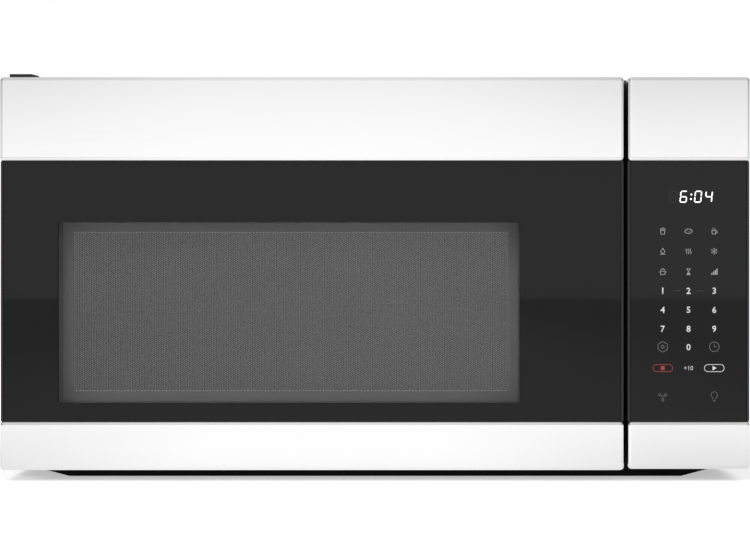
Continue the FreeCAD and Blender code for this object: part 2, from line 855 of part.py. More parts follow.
def spoke(name, radius, start, end, angle):
    """A round bar that points out from the turntable's axis, at an angle in degrees."""
    bar = doc.addObject("Part::Cylinder", name)
    bar.Placement = FreeCAD.Placement(VECTOR(), ROTATION(VECTOR(0, 0, 1), angle).multiply(AXIS_TURNS["x"]))
    bind(bar, Radius=radius, Height=f"({end}) - ({start})")
    return move(bar, x=f"cavity_middle + ({start}) * cos({angle})", y=f"turn_y + ({start}) * sin({angle})",
                z="roller_z")


# ---------------------------------------------------------------- microwave source and electrics


def make_waveguide():
    """Sheet duct on the cavity's right wall, and the mica cover inside the cavity."""
    across = ("guide_y - guide_wide / 2", "guide_y + guide_wide / 2")
    upright = ("guide_z - guide_tall / 2", "guide_z + guide_tall / 2")
    duct = cut(
        "guide",
        block("guide_outer", ("guide_left", "guide_right"), across, upright),
        block("guide_inner", ("guide_left - 1", "guide_right - sheet_metal"),
              (f"{across[0]} + sheet_metal", f"{across[1]} - sheet_metal"),
              (f"{upright[0]} + sheet_metal", f"{upright[1]} - sheet_metal")),
        rod("guide_hole", "x", "antenna_radius + antenna_play", ("guide_right - 5", "guide_right + 5"),
            ("magnetron_y", "guide_z")),
    )
    piece("waveguide", duct)
    mica = block("mica", ("cavity_right - mica_thick", "cavity_right"),
                 ("guide_y - port_wide / 2 - mica_border", "guide_y + port_wide / 2 + mica_border"),
                 ("guide_z - port_tall / 2 - mica_border", "guide_z + port_tall / 2 + mica_border"))
    piece("waveguide_cover", mica)


def make_magnetron():
    """Magnetron: yoke, cooling fins round the anode, antenna into the waveguide and filter box."""
    half = "yoke_size / 2"
    long = ("guide_right", "magnetron_right")
    yoke = cut(
        "yoke",
        block("yoke_outer", long, (f"magnetron_y - {half}", f"magnetron_y + {half}"),
              (f"guide_z - {half}", f"guide_z + {half}")),
        block("yoke_inner", (f"{long[0]} + yoke_metal", f"{long[1]} - yoke_metal"),
              (f"magnetron_y - {half} - 1", f"magnetron_y + {half} + 1"),
              (f"guide_z - {half} + yoke_metal", f"guide_z + {half} - yoke_metal")),
    )
    fins = [
        block(
            f"fin_{i}",
            (f"{long[0]} + {i + 1} * yoke_long / (fin_count + 1) - fin_metal / 2",
             f"{long[0]} + {i + 1} * yoke_long / (fin_count + 1) + fin_metal / 2"),
            (f"magnetron_y - {half} + yoke_metal", f"magnetron_y + {half} - yoke_metal"),
            (f"guide_z - {half} + yoke_metal / 2", f"guide_z + {half} - yoke_metal / 2"),
        )
        for i in range(int(SIZES["fin_count"]))
    ]
    anode = rod("anode", "x", "anode_radius", long, ("magnetron_y", "guide_z"))
    antenna = rod("antenna", "x", "antenna_radius", ("guide_right - antenna_long", "guide_right"),
                  ("magnetron_y", "guide_z"))
    chokes = block("magnetron_filter_box", ("magnetron_right", "magnetron_right + filter_box"),
                   ("magnetron_y - yoke_size * 0.35", "magnetron_y + yoke_size * 0.35"),
                   ("guide_z - yoke_size * 0.35", "guide_z + yoke_size * 0.35"))
    piece("magnetron", join("tube", yoke, anode, antenna, chokes, *fins))


def make_electrics():
    """Shelf of the electrical bay with the transformer and the capacitor."""
    shelf_y = ("face_in + part_gap", "back_in - part_gap")
    shelf = join(
        "shelf",
        block("shelf_plate", ("bay_left", "bay_right"), shelf_y, ("shelf_height", "shelf_top")),
        block("shelf_leg", ("bay_right - sheet_metal", "bay_right"), shelf_y, ("pan_top", "shelf_height")),
        block("shelf_upstand", ("bay_left", "bay_left + sheet_metal"), shelf_y,
              ("shelf_top", "cavity_floor + 20")),
    )
    piece("component_shelf", shelf)

    low_x = "bay_left + coil_bulge + 8"
    core_x = (low_x, f"{low_x} + core_thick")
    core_y = ("face + core_from_face", "face + core_from_face + core_long")
    core_z = ("shelf_top", "shelf_top + core_tall")
    middle = "face + core_from_face + core_long / 2"
    window_z = ("shelf_top + core_leg", "shelf_top + core_tall - core_leg")
    windows = [
        block(f"core_window_{name}", (f"{core_x[0]} - 1", f"{core_x[1]} + 1"), span, window_z)
        for name, span in (
            ("front", (f"{middle} - core_leg - core_window", f"{middle} - core_leg")),
            ("back", (f"{middle} + core_leg", f"{middle} + core_leg + core_window")),
        )
    ]
    core = cut("core", block("core_blank", core_x, core_y, core_z), *windows)
    coil = cut(
        "coil",
        block("coil_blank", (f"{core_x[0]} - coil_bulge", f"{core_x[1]} + coil_bulge"),
              (f"{middle} - core_leg - core_window", f"{middle} + core_leg + core_window"), window_z),
        block("coil_hollow", core_x, (f"{middle} - core_leg", f"{middle} + core_leg"),
              ("shelf_top", "shelf_top + core_tall")),
    )
    piece("high_voltage_transformer", together("transformer", core, coil))

    can_x = "bay_right - capacitor_round - 12"
    can_y = f"{core_y[0]} + capacitor_flat / 2"
    ends = (("front", f"{can_y} - capacitor_flat / 2"), ("back", f"{can_y} + capacitor_flat / 2"))
    can = join(
        "can",
        *[rod(f"can_end_{side}", "z", "capacitor_round", ("shelf_top", "shelf_top + capacitor_tall"), (can_x, y))
          for side, y in ends],
        block("can_middle", (f"{can_x} - capacitor_round", f"{can_x} + capacitor_round"),
              (ends[0][1], ends[1][1]), ("shelf_top", "shelf_top + capacitor_tall")),
        *[rod(f"can_post_{side}", "z", "capacitor_round / 4",
              ("shelf_top + capacitor_tall", "shelf_top + capacitor_tall + 10"), (can_x, y))
          for side, y in ends],
    )
    piece("capacitor", can)


def make_cooling_fan():
    """Axial fan at the back of the bay, with its shroud and motor."""
    here = ("bay_middle", "fan_height")
    shroud = cut(
        "shroud",
        block("shroud_plate", ("bay_left + part_gap", "bay_right - part_gap"),
              ("shroud_y", "shroud_y + plastic_wall"),
              ("shroud_low", "fan_height + fan_reach + shroud_edge")),
        rod("shroud_hole", "y", "fan_reach", ("shroud_y - 1", "shroud_y + plastic_wall + 1"), here),
    )
    feet = [
        block(f"shroud_foot_{side}", span, ("shroud_y", "shroud_y + plastic_wall"),
              ("shelf_top", "shroud_low"))
        for side, span in (
            ("left", ("bay_left + sheet_metal + part_gap", "bay_left + 30")),
            ("right", ("bay_right - 30", "bay_right - part_gap")),
        )
    ]
    arms = [
        block(f"shroud_arm_{side}", ("bay_middle - 5", "bay_middle + 5"), ("shroud_y - 10", "shroud_y"), span)
        for side, span in (
            ("low", ("fan_height - fan_reach - 4", "fan_height - fan_motor_size / 2 + 6")),
            ("high", ("fan_height + fan_motor_size / 2 - 6", "fan_height + fan_reach + 4")),
        )
    ]
    piece("fan_shroud", join("shroud_all", shroud, *feet, *arms))

    half = "fan_motor_size / 2"
    back_face = "shroud_y - 10"
    motor = cut(
        "fan_motor_core",
        block("fan_motor_blank", (f"bay_middle - {half}", f"bay_middle + {half}"),
              (f"{back_face} - fan_motor_deep", back_face), (f"fan_height - {half}", f"fan_height + {half}")),
        rod("fan_motor_bore", "y", "fan_shaft + bush_play",
            (f"{back_face} - fan_motor_deep + 4", "shroud_y"), here),
    )
    piece("fan_motor", motor)

    start = "shroud_y + plastic_wall / 2 - fan_deep / 2 + 8"
    hub = rod("fan_hub_disc", "y", "fan_hub", (start, f"{start} + fan_deep"), here)
    shaft = rod("fan_rod", "y", "fan_shaft", (f"{back_face} - fan_motor_deep + 5", start), here)
    disc = rod("fan_sweep", "y", "fan_radius", (start, f"{start} + fan_deep"), here)
    blades = []
    for i in range(5):
        blade = doc.addObject("Part::Box", f"fan_blade_{i}")
        turn = ROTATION(VECTOR(0, 1, 0), 72 * i).multiply(ROTATION(VECTOR(1, 0, 0), SIZES["fan_tilt"]))
        blade.Placement.Rotation = turn
        bind(blade, Length="fan_radius + 5", Width="fan_blade", Height="fan_chord")
        offset = turn.multVec(VECTOR(0, 0, -0.5))
        move(blade, x=f"bay_middle + ({offset.x}) * fan_chord",
             y=f"{start} + fan_deep / 2 + ({offset.y}) * fan_chord",
             z=f"fan_height + ({offset.z}) * fan_chord")
        blades.append(blade)
    vanes = doc.addObject("Part::Common", "fan_vanes")
    vanes.Base = join("fan_blades", *blades)
    vanes.Tool = disc
    piece("cooling_fan", join("fan", hub, shaft, vanes))


def make_cavity_lamp():
    """Cavity lamp in its box on the right wall."""
    box_x = ("cavity_right + sheet_metal", "cavity_right + 35")
    box_y = ("face_in + 46", "face_in + 82")
    box_z = ("cavity_top - 46", "cavity_top - 6")
    box = cut(
        "oven_lamp_box",
        block("oven_lamp_outer", box_x, box_y, box_z),
        block("oven_lamp_inner", (f"{box_x[0]} - 1", f"{box_x[1]} - sheet_metal"),
              (f"{box_y[0]} + sheet_metal", f"{box_y[1]} - sheet_metal"),
              (f"{box_z[0]} + sheet_metal", f"{box_z[1]} - sheet_metal")),
    )
    bulb = rod("oven_bulb", "x", "roller_radius", (f"{box_x[1]} - 26", f"{box_x[1]} - sheet_metal"),
               ("face_in + 64", "cavity_top - 26"))
    piece("cavity_lamp", together("oven_lamp", box, bulb))


# ---------------------------------------------------------------- exhaust


def make_blower():
    """Exhaust blower: a motor between two squirrel-cage wheels, each in its own scroll."""
    half_motor = "blower_motor_long / 2"
    here = ("blower_y", "blower_z")
    scrolls = []
    rotor = []
    for side, sign in (("left", "-"), ("right", "")):
        near = f"({half_motor} + part_gap)"
        far = f"({half_motor} + part_gap + wheel_long + 2 * scroll_metal + 4)"
        low, high = (f"cavity_middle - {far}", f"cavity_middle - {near}")
        if side == "right":
            low, high = (f"cavity_middle + {near}", f"cavity_middle + {far}")
        mouth_z = ("blower_z + scroll_radius - scroll_mouth", "blower_z + scroll_radius")
        outer = join(
            f"scroll_outer_{side}",
            rod(f"scroll_round_{side}", "x", "scroll_radius", (low, high), here),
            block(f"scroll_duct_{side}", (low, high), ("blower_y - scroll_long", "blower_y"), mouth_z),
            block(f"scroll_foot_{side}", (low, high), ("blower_y - 12", "blower_y + 12"),
                  ("cavity_top + sheet_metal", "blower_z - scroll_radius + 6")),
        )
        inner_x = (f"{low} + scroll_metal", f"{high} - scroll_metal")
        scroll = cut(
            f"scroll_{side}",
            outer,
            rod(f"scroll_bore_{side}", "x", "scroll_radius - scroll_metal", inner_x, here),
            block(f"scroll_way_{side}", inner_x, ("blower_y - scroll_long - 1", "blower_y"),
                  (f"{mouth_z[0]} + scroll_metal", f"{mouth_z[1]} - scroll_metal")),
            rod(f"scroll_inlet_{side}", "x", "wheel_inner", (f"{low} - 1", f"{high} + 1"), here),
        )
        scrolls.append(scroll)
        rotor.append(squirrel_wheel(side, f"{low} + scroll_metal + 2"))
    piece("blower_housing", together("scrolls", *scrolls))
    motor = join(
        "blower_motor_blank",
        rod("blower_motor_can", "x", "blower_motor_radius",
            (f"cavity_middle - {half_motor}", f"cavity_middle + {half_motor}"), here),
        block("blower_motor_foot", (f"cavity_middle - {half_motor}", f"cavity_middle + {half_motor}"),
              ("blower_y - 12", "blower_y + 12"), ("cavity_top + sheet_metal", "blower_z")),
    )
    bore = rod("blower_motor_bore", "x", "blower_shaft + bush_play",
               ("cavity_middle - blower_motor_long", "cavity_middle + blower_motor_long"), here)
    piece("blower_motor", cut("blower_motor_all", motor, bore))
    shaft_half = f"({half_motor} + wheel_long)"
    shaft = rod("blower_rod", "x", "blower_shaft",
                (f"cavity_middle - {shaft_half}", f"cavity_middle + {shaft_half}"), here)
    piece("blower_rotor", together("rotor", shaft, *rotor))


def squirrel_wheel(side, start):
    """One wheel: a ring of forward-curved blades between an end ring and a hub disc."""
    wheel = body(f"wheel_{side}")
    hub_end = "0" if side == "right" else "wheel_long - wheel_disc"
    ring_end = "wheel_long - wheel_disc" if side == "right" else "0"
    disc = sketch_on(wheel, f"wheel_hub_{side}", "YZ", hub_end)
    circle(disc, "0", "0", "wheel_radius")
    circle(disc, "0", "0", "blower_shaft")
    pad(wheel, disc, "wheel_disc")
    blade = sketch_on(wheel, f"wheel_blade_{side}", "YZ")
    outline(
        blade,
        [
            ("wheel_inner + 0.5", "-blade_metal / 2"),
            ("wheel_radius - 0.5", "blade_metal * 2.4"),
            ("wheel_radius - 0.8", "blade_metal * 3.4"),
            ("wheel_inner + 0.3", "blade_metal / 2"),
        ],
    )
    repeat_round(wheel, pad(wheel, blade, "wheel_long"), "X_Axis", "blade_count")
    rim = sketch_on(wheel, f"wheel_rim_{side}", "YZ", ring_end)
    circle(rim, "0", "0", "wheel_radius")
    circle(rim, "0", "0", "wheel_inner")
    pad(wheel, rim, "wheel_disc")
    return move(wheel, x=start, y="blower_y", z="blower_z")


def make_top():
    """Louvred exhaust grille, charcoal filter, duct cover plate, cord bush and case screws."""
    grille = body("grille")
    long = ("-grille_wide / 2", "grille_wide / 2")
    deep = ("face + grille_from_face", "face + grille_from_face + grille_deep")
    blank = sketch_on(grille, "grille_outline", "XY", "case_high - grille_tall")
    pad(grille, rectangle(blank, long, deep), "grille_tall")
    slot = sketch_on(grille, "grille_slot", "XY", "case_high - grille_tall")
    pitch_x = "(grille_wide / grille_columns)"
    pitch_y = "(grille_deep / grille_rows)"
    rectangle(
        slot,
        (f"{long[0]} + {pitch_x} / 2 - grille_slot_wide / 2",
         f"{long[0]} + {pitch_x} / 2 + grille_slot_wide / 2"),
        (f"{deep[0]} + {pitch_y} / 2 - grille_slot_deep / 2",
         f"{deep[0]} + {pitch_y} / 2 + grille_slot_deep / 2"),
    )
    first = pocket(grille, slot, "grille_tall")
    across = grille.newObject("PartDesign::MultiTransform", "grille_slots")
    across.Originals = [first]
    along_x = grille.newObject("PartDesign::LinearPattern", "grille_slots_x")
    along_x.Direction = axis_of(grille, "X_Axis")
    bind(along_x, Length=f"grille_wide - {pitch_x}", Occurrences="grille_columns")
    along_y = grille.newObject("PartDesign::LinearPattern", "grille_slots_y")
    along_y.Direction = axis_of(grille, "Y_Axis")
    bind(along_y, Length=f"grille_deep - {pitch_y}", Occurrences="grille_rows")
    across.Transformations = [along_x, along_y]
    grille.Tip = across
    piece("vent_grille", grille)

    low = "case_high - grille_tall - charcoal_tall"
    piece("charcoal_filter",
          block("charcoal", (f"{long[0]} + 8", f"{long[1]} - 8"), deep, (low, "case_high - grille_tall")))
    piece(
        "duct_cover",
        block("duct_plate",
              ("cavity_middle - duct_wide / 2 - duct_lap", "cavity_middle + duct_wide / 2 + duct_lap"),
              ("blower_y - duct_deep / 2 - duct_lap", "blower_y + duct_deep / 2 + duct_lap"),
              ("case_under - sheet_metal", "case_under")),
    )
    here = ("case_right - cord_from_right", "back_in - cord_from_back")
    bush = cut(
        "bush",
        join("bush_blank",
             rod("bush_barrel", "z", "cord_hole - bush_play", ("case_under - 6", "case_high"), here),
             rod("bush_flange", "z", "cord_flange", ("case_high", "case_high + 2"), here)),
        rod("bush_bore", "z", "cord_bore", ("case_under - 7", "case_high + 3"), here),
    )
    piece("cord_bushing", bush)
    spots = [(x, y) for y in ("back_in - 12", "face + 90") for x in ("case_left + 20", "case_right - 20")]
    heads = [rod(f"screw_{i}", "z", "screw_head", ("case_high", "case_high + screw_head_tall"), spot)
             for i, spot in enumerate(spots)]
    piece("case_screws", together("screws", *heads))


# ---------------------------------------------------------------- control panel


def rounded_slab(name, x, z, low_y, length, radius):
    """A slab whose four edges from front to back are rounded."""
    owner = body(name)
    pad(owner, rectangle(sketch_on(owner, name + "_face", "XZ", low_y), x, z), length)
    round_edges(owner, radius, lambda edge: runs_along(edge, "y"))
    return owner


def pressing(name, x, z, inset, length):
    """A slab with rounded corners and a rounded front edge, drawn in from a band's outside by an inset."""
    inner_x, inner_z = ((f"{low} + {inset}", f"{high} - {inset}") for low, high in (x, z))
    owner = rounded_slab(name, inner_x, inner_z, f"front + {inset}", length, f"band_corner - {inset}")
    front_y = owner.Shape.BoundBox.YMin
    round_edges(owner, f"band_edge - {inset}", lambda edge: edge.BoundBox.YMax - front_y < 1e-4)
    return owner


def band(name, left, right, low, high, glass_side):
    """A drawn steel band: rounded front edges, skirts on its outer sides, a short lip by the glass."""
    x, z = ((left, right), (low, high))
    edge = (low, f"{low} + band_corner") if glass_side == "low" else (f"{high} - band_corner", high)
    glass_room = block(name + "_glass_room", (f"{left} - 1", f"{right} + 1"),
                       ("glass_front", "front + band_skirt + 1"), (f"{edge[0]} - 1", f"{edge[1]} + 1"))
    drawn = cut(
        name + "_drawn",
        pressing(name + "_outside", x, z, "0", "band_skirt"),
        pressing(name + "_inside", x, z, "band_metal", "band_skirt"),
        glass_room,
    )
    return piece(name, drawn)


def front_blank(name, left, right, low):
    """Extents, glass recess and side rims of the plastic pan that carries the glass and the bands."""
    outer = (f"{left} + band_metal", f"{right} - band_metal")
    upright = (f"{low} + band_metal", "door_high - band_metal")
    recess = block(f"{name}_glass_recess", (f"{left} + glass_margin", f"{right} - glass_margin"),
                   ("glass_front - 1", "glass_back"), ("glass_low", "glass_high"))
    rims = [
        block(f"{name}_rim_{side}", x, ("glass_front", "front + band_skirt"),
              ("glass_low + part_gap", "glass_high - part_gap"))
        for side, x in (
            ("left", (f"{left} + part_gap", f"{left} + glass_margin")),
            ("right", (f"{right} - glass_margin", f"{right} - part_gap")),
        )
    ]
    return outer, upright, recess, rims


def glass_pane(name, left, right):
    """The front glass between the two bands, with a groove round its sides."""
    margin = "(glass_margin + glass_gap)"
    piece(f"{name}_glass", block(f"{name}_pane", (f"{left} + {margin}", f"{right} - {margin}"),
                                 ("glass_front", "glass_back"), ("glass_low", "glass_high")))


def make_control_panel():
    """Control panel: plastic frame, touch glass, two steel bands, circuit board and display."""
    outer, upright, recess, rims = front_blank("control", "panel_left", "half_wide", "panel_low")
    display_x = ("half_wide - display_from_right - display_wide", "half_wide - display_from_right")
    display_z = ("door_high - display_from_top - display_tall", "door_high - display_from_top")
    hollow = block("control_hollow", (f"{outer[0]} + plastic_wall", f"{outer[1]} - plastic_wall"),
                   ("web_back", "face + 1"), (f"{upright[0]} + plastic_wall", f"{upright[1]} - plastic_wall"))
    blank = rounded_slab("control_blank", outer, upright, "glass_front", "face - glass_front",
                         "band_corner - band_metal")
    shell = cut("control_shell", blank, recess, hollow,
                block("control_display_hole", display_x, ("glass_back - 1", "web_back + 1"), display_z))
    board_y = ("web_back + board_back", "web_back + board_back + board_thick")
    board_x = (f"{outer[0]} + plastic_wall + board_margin", f"{outer[1]} - plastic_wall - board_margin")
    board_z = ("glass_low + 10", "glass_high - 4")
    posts = [
        rod(f"control_post_{i}", "y", "roller_radius / 2", ("web_back", board_y[0]), (x, z))
        for i, (x, z) in enumerate(
            (x, z)
            for x in (f"{board_x[0]} + 6", f"{board_x[1]} - 6")
            for z in (f"{board_z[0]} + 6", f"{board_z[1]} - 6")
        )
    ]
    piece("control_panel_frame", join("control_frame", shell, *rims, *posts))
    glass_pane("control", "panel_left", "half_wide")
    band("control_trim_top", "panel_left", "half_wide", "glass_high", "door_high", "low")
    band("control_trim_bottom", "panel_left", "half_wide", "panel_low", "glass_low", "high")
    relays = [
        block(f"board_relay_{i}", (f"{board_x[0]} + {12 + 26 * i}", f"{board_x[0]} + {30 + 26 * i}"),
              (board_y[1], f"{board_y[1]} + 14"), (f"{board_z[0]} + 20", f"{board_z[0]} + 44"))
        for i in range(3)
    ]
    piece("control_board", join("board", block("board_plate", board_x, board_y, board_z), *relays))
    piece("display_module", block("display", (f"{display_x[0]} + part_gap", f"{display_x[1]} - part_gap"),
                                  ("glass_back + part_gap", board_y[0]),
                                  (f"{display_z[0]} + part_gap", f"{display_z[1]} - part_gap")))


# ---------------------------------------------------------------- door


def hinge_notch(name):
    """The room that the lower hinge's leaf sweeps through as the door turns about its pin."""
    return block(name, ("door_left - 1", "hinge_x + hinge_leaf_wide"),
                 ("hinge_y - hinge_sweep", "door_back + 1"), ("door_low - 1", "lower_leaf_low + lower_leaf + 1"))


def make_door_frame():
    """Plastic door frame: glass recess, window tunnel, hinge column and grip pocket under its free end."""
    outer, upright, recess, rims = front_blank("door", "door_left", "door_right", "door_low")
    blank = body("door_blank")
    plan = sketch_on(blank, "door_plan", "XY", upright[0])
    pad(blank, rectangle(plan, outer, ("glass_front", "door_back")), f"({upright[1]}) - ({upright[0]})")
    left_x, back_y = (blank.Shape.BoundBox.XMin, blank.Shape.BoundBox.YMax)
    round_edges(
        blank, "hinge_round",
        lambda edge: runs_along(edge, "z")
        and abs(edge.BoundBox.XMin - left_x) < 1e-3
        and abs(edge.BoundBox.YMax - back_y) < 1e-3,
    )
    hollow_x = ("door_left + hinge_column", f"{outer[1]} - plastic_wall")
    hollow_z = (f"{upright[0]} + plastic_wall", f"{upright[1]} - plastic_wall")
    hollow = block("door_hollow", hollow_x, ("web_back", "door_back + 1"), hollow_z)
    rim = "window_rim"
    tunnel_x = (f"window_left - {rim}", f"window_right + {rim}")
    tunnel_z = (f"window_low - {rim}", f"window_high + {rim}")
    tunnel = block(
        "door_tunnel",
        (f"{tunnel_x[0]} - plastic_wall", f"{tunnel_x[1]} + plastic_wall"),
        ("glass_back", "screen_front"),
        (f"{tunnel_z[0]} - plastic_wall", f"{tunnel_z[1]} + plastic_wall"),
    )
    opening = block("door_window", ("window_left", "window_right"), ("glass_front - 1", "screen_front + 1"),
                    ("window_low", "window_high"))
    inside = block("door_tunnel_inside", tunnel_x, ("web_back", "screen_front + 1"), tunnel_z)
    grip_x = ("door_right - grip_from_right - grip_wide", "door_right - grip_from_right")
    grip_y = ("web_back + part_gap", "web_back + part_gap + grip_deep")
    grip_z = (upright[0], f"{upright[0]} + grip_tall")
    grip = block("door_grip", (f"{grip_x[0]} - plastic_wall", f"{grip_x[1]} + plastic_wall"),
                 ("web_back", f"{grip_y[1]} + plastic_wall"), (grip_z[0], f"{grip_z[1]} + plastic_wall"))
    grip_pocket = block("door_grip_pocket", grip_x, grip_y, (f"{grip_z[0]} - 1", grip_z[1]))
    guide_x = ("latch_x - latch_wide / 2", "latch_x + latch_wide / 2")
    guides = [
        block(f"door_guide_{name}", (f"{guide_x[0]} - part_gap - plastic_wall",
                                     f"{guide_x[1]} + part_gap + plastic_wall"),
              ("web_back", "screen_back + latch_bar_deep - 2"), (f"{z} - 6", f"{z} + 6"))
        for name, z in (("low", "latch_low + 34"), ("high", "latch_high - 34"))
    ]
    guide_ways = [
        block(f"door_guide_way_{name}", (f"{guide_x[0]} - part_gap", f"{guide_x[1]} + part_gap"),
              ("screen_back - part_gap", "door_back"), (f"{z} - 7", f"{z} + 7"))
        for name, z in (("low", "latch_low + 34"), ("high", "latch_high - 34"))
    ]
    bushes = [
        rod("door_bush_seat_low", "z", "bush_radius",
            (f"{upright[0]} - 1", "door_low + 5 + hinge_pin_long + 2"), ("hinge_x", "hinge_y")),
        rod("door_bush_seat_high", "z", "bush_radius", ("door_high - hinge_pin_long - 2", "door_high + 1"),
            ("hinge_x", "hinge_y")),
    ]
    notch = hinge_notch("door_hinge_notch")
    spring_foot = "latch_bar_low - spring_long"
    spring_post = block("door_spring_post", (f"{guide_x[0]} - 2", f"{guide_x[1]} + 2"),
                        ("web_back", "screen_back + latch_bar_deep"), (f"{spring_foot} - 6", spring_foot))
    corners = rounded_slab("door_corners", outer, upright, "glass_front", "door_back - glass_front",
                           "band_corner - band_metal")
    rounded = doc.addObject("Part::Common", "door_rounded")
    rounded.Base, rounded.Tool = (blank, corners)
    pan = cut("door_pan", rounded, recess, hollow)
    walls = join("door_walls", pan, tunnel, grip, spring_post, *rims, *guides)
    piece("door_frame",
          cut("door_frame_all", walls, opening, inside, grip_pocket, notch, *guide_ways, *bushes))


def make_choke():
    """Choke: a folded steel channel round the window whose outer wall is cut into a comb."""
    out_x = ("cavity_left - choke_overlap", "cavity_right + choke_overlap")
    out_z = ("cavity_floor - choke_overlap", "cavity_top + choke_overlap")
    in_x = ("window_left - window_rim", "window_right + window_rim")
    in_z = ("window_low - window_rim", "window_high + window_rim")
    high_y = "screen_back + choke_deep - screen_metal"
    owner = body("choke")
    web = sketch_on(owner, "choke_web", "XZ", "screen_back")
    rectangle(web, out_x, out_z)
    rectangle(web, in_x, in_z)
    pad(owner, web, "choke_wall")
    for name, x, z, sign in (("outer", out_x, out_z, "+"), ("inner", in_x, in_z, "-")):
        flip = "-" if sign == "+" else "+"
        wall = sketch_on(owner, f"choke_{name}_wall", "XZ", "screen_back")
        rectangle(wall, x, z)
        rectangle(wall, (f"{x[0]} {sign} choke_wall", f"{x[1]} {flip} choke_wall"),
                  (f"{z[0]} {sign} choke_wall", f"{z[1]} {flip} choke_wall"))
        pad(owner, wall, f"({high_y}) - (screen_back)")
    slot_y = f"{high_y} - choke_slot_deep"
    count_x = "ceil((cavity_width + 2 * choke_overlap - 40) / choke_slot_pitch)"
    count_z = "ceil((cavity_height + 2 * choke_overlap - 40) / choke_slot_pitch)"
    run_x = f"({count_x} - 1) * choke_slot_pitch"
    run_z = f"({count_z} - 1) * choke_slot_pitch"
    middle_x = "(cavity_left + cavity_right) / 2"
    middle_z = "(cavity_floor + cavity_top) / 2"
    slots_x = sketch_on(owner, "choke_slot_x", "XZ", slot_y)
    for edge in (out_z[0], f"{out_z[1]} - choke_wall"):
        rectangle(slots_x, (f"{middle_x} - {run_x} / 2 - choke_slot_wide / 2",
                            f"{middle_x} - {run_x} / 2 + choke_slot_wide / 2"),
                  (f"{edge} - 0.5", f"{edge} + choke_wall + 0.5"))
    repeat_along(owner, [pocket(owner, slots_x, "choke_slot_deep + 1")], "X_Axis", run_x, count_x)
    slots_z = sketch_on(owner, "choke_slot_z", "XZ", slot_y)
    for edge in (out_x[0], f"{out_x[1]} - choke_wall"):
        rectangle(slots_z, (f"{edge} - 0.5", f"{edge} + choke_wall + 0.5"),
                  (f"{middle_z} - {run_z} / 2 - choke_slot_wide / 2",
                   f"{middle_z} - {run_z} / 2 + choke_slot_wide / 2"))
    repeat_along(owner, [pocket(owner, slots_z, "choke_slot_deep + 1")], "Z_Axis", run_z, count_z)
    piece("door_choke", owner)


def make_door_inside():
    """Screen plate, inner window and the cover that closes the door's back."""
    lap = "(window_rim + plastic_wall + 4)"
    piece("door_screen", block("screen", (f"window_left - {lap}", f"window_right + {lap}"),
                               ("screen_front", "screen_back"),
                               (f"window_low - {lap}", f"window_high + {lap}")))
    inner = "(window_rim - choke_wall - part_gap)"
    pane_y = ("cover_front - inner_window_thick", "cover_front")
    piece("inner_window", block("inner_pane", (f"window_left - {inner}", f"window_right + {inner}"), pane_y,
                                (f"window_low - {inner}", f"window_high + {inner}")))
    play = "(latch_wide / 2 + 2)"
    slots = [
        block(f"cover_slot_{name}", (f"latch_x - {play}", f"latch_x + {play}"),
              ("cover_front - 1", "door_back + 1"),
              (f"{z} - hook_tall / 2 - 2", f"{z} + hook_tall / 2 + latch_travel + 2"))
        for name, z in (("low", "latch_low"), ("high", "latch_high"))
    ]
    inside = "(band_metal + plastic_wall + part_gap)"
    cover = cut(
        "cover",
        block("cover_plate", ("door_left + hinge_column + part_gap", f"door_right - {inside}"),
              ("cover_front", "door_back"), (f"door_low + {inside}", f"door_high - {inside}")),
        block("cover_window", ("window_left", "window_right"), ("cover_front - 1", "door_back + 1"),
              ("window_low", "window_high")),
        hinge_notch("cover_hinge_notch"),
        *slots,
    )
    piece("choke_cover", cover)


def make_latch():
    """Latch bar with its two hooks, and the spring that pulls it down."""
    guide_x = ("latch_x - latch_wide / 2", "latch_x + latch_wide / 2")
    bar = block("latch_bar", guide_x, ("screen_back", "screen_back + latch_bar_deep - 2 * part_gap"),
                ("latch_bar_low", "latch_high + hook_tall / 2 + 6"))
    hooks = []
    for name, z in (("low", "latch_low"), ("high", "latch_high")):
        hook = body(f"hook_{name}")
        side = sketch_on(hook, f"hook_{name}_side", "YZ", guide_x[0])
        under = f"{z} - hook_tall / 2"
        outline(
            side,
            [
                ("screen_back", f"{under} + hook_nose"),
                ("hook_tip - hook_nose_long - 2", f"{under} + hook_nose"),
                ("hook_tip - hook_nose_long", under),
                ("hook_tip - 2", under),
                ("hook_tip", f"{under} + 2"),
                ("hook_tip", f"{z} + hook_tall / 2 - 4"),
                ("hook_tip - 4", f"{z} + hook_tall / 2"),
                ("screen_back", f"{z} + hook_tall / 2"),
            ],
        )
        pad(hook, side, "latch_wide")
        hooks.append(hook)
    piece("latch_hooks", join("latch", bar, *hooks))

    spring = body("spring")
    bends = int(SIZES["spring_turns"])
    rise = f"((spring_long - 2 * part_gap) / {bends})"
    middle_y = "screen_back + latch_bar_deep / 2"
    bottom = "latch_bar_low - spring_long + part_gap"
    near = ("latch_x - spring_radius", "latch_x + spring_radius - spring_strip")
    left = [(near[i % 2], f"{bottom} + {i} * {rise}") for i in range(bends + 1)]
    strip = sketch_on(spring, "spring_side", "XZ", f"{middle_y} - spring_wire")
    outline(strip, left + [(f"{x} + spring_strip", z) for x, z in reversed(left)])
    pad(spring, strip, "2 * spring_wire")
    piece("latch_spring", spring)


SWITCH_HEIGHTS = {
    "primary": "latch_high",
    "secondary": "latch_low + switch_tall / 2 + 0.5",
    "monitor": "latch_low - switch_tall / 2 - 0.5",
}


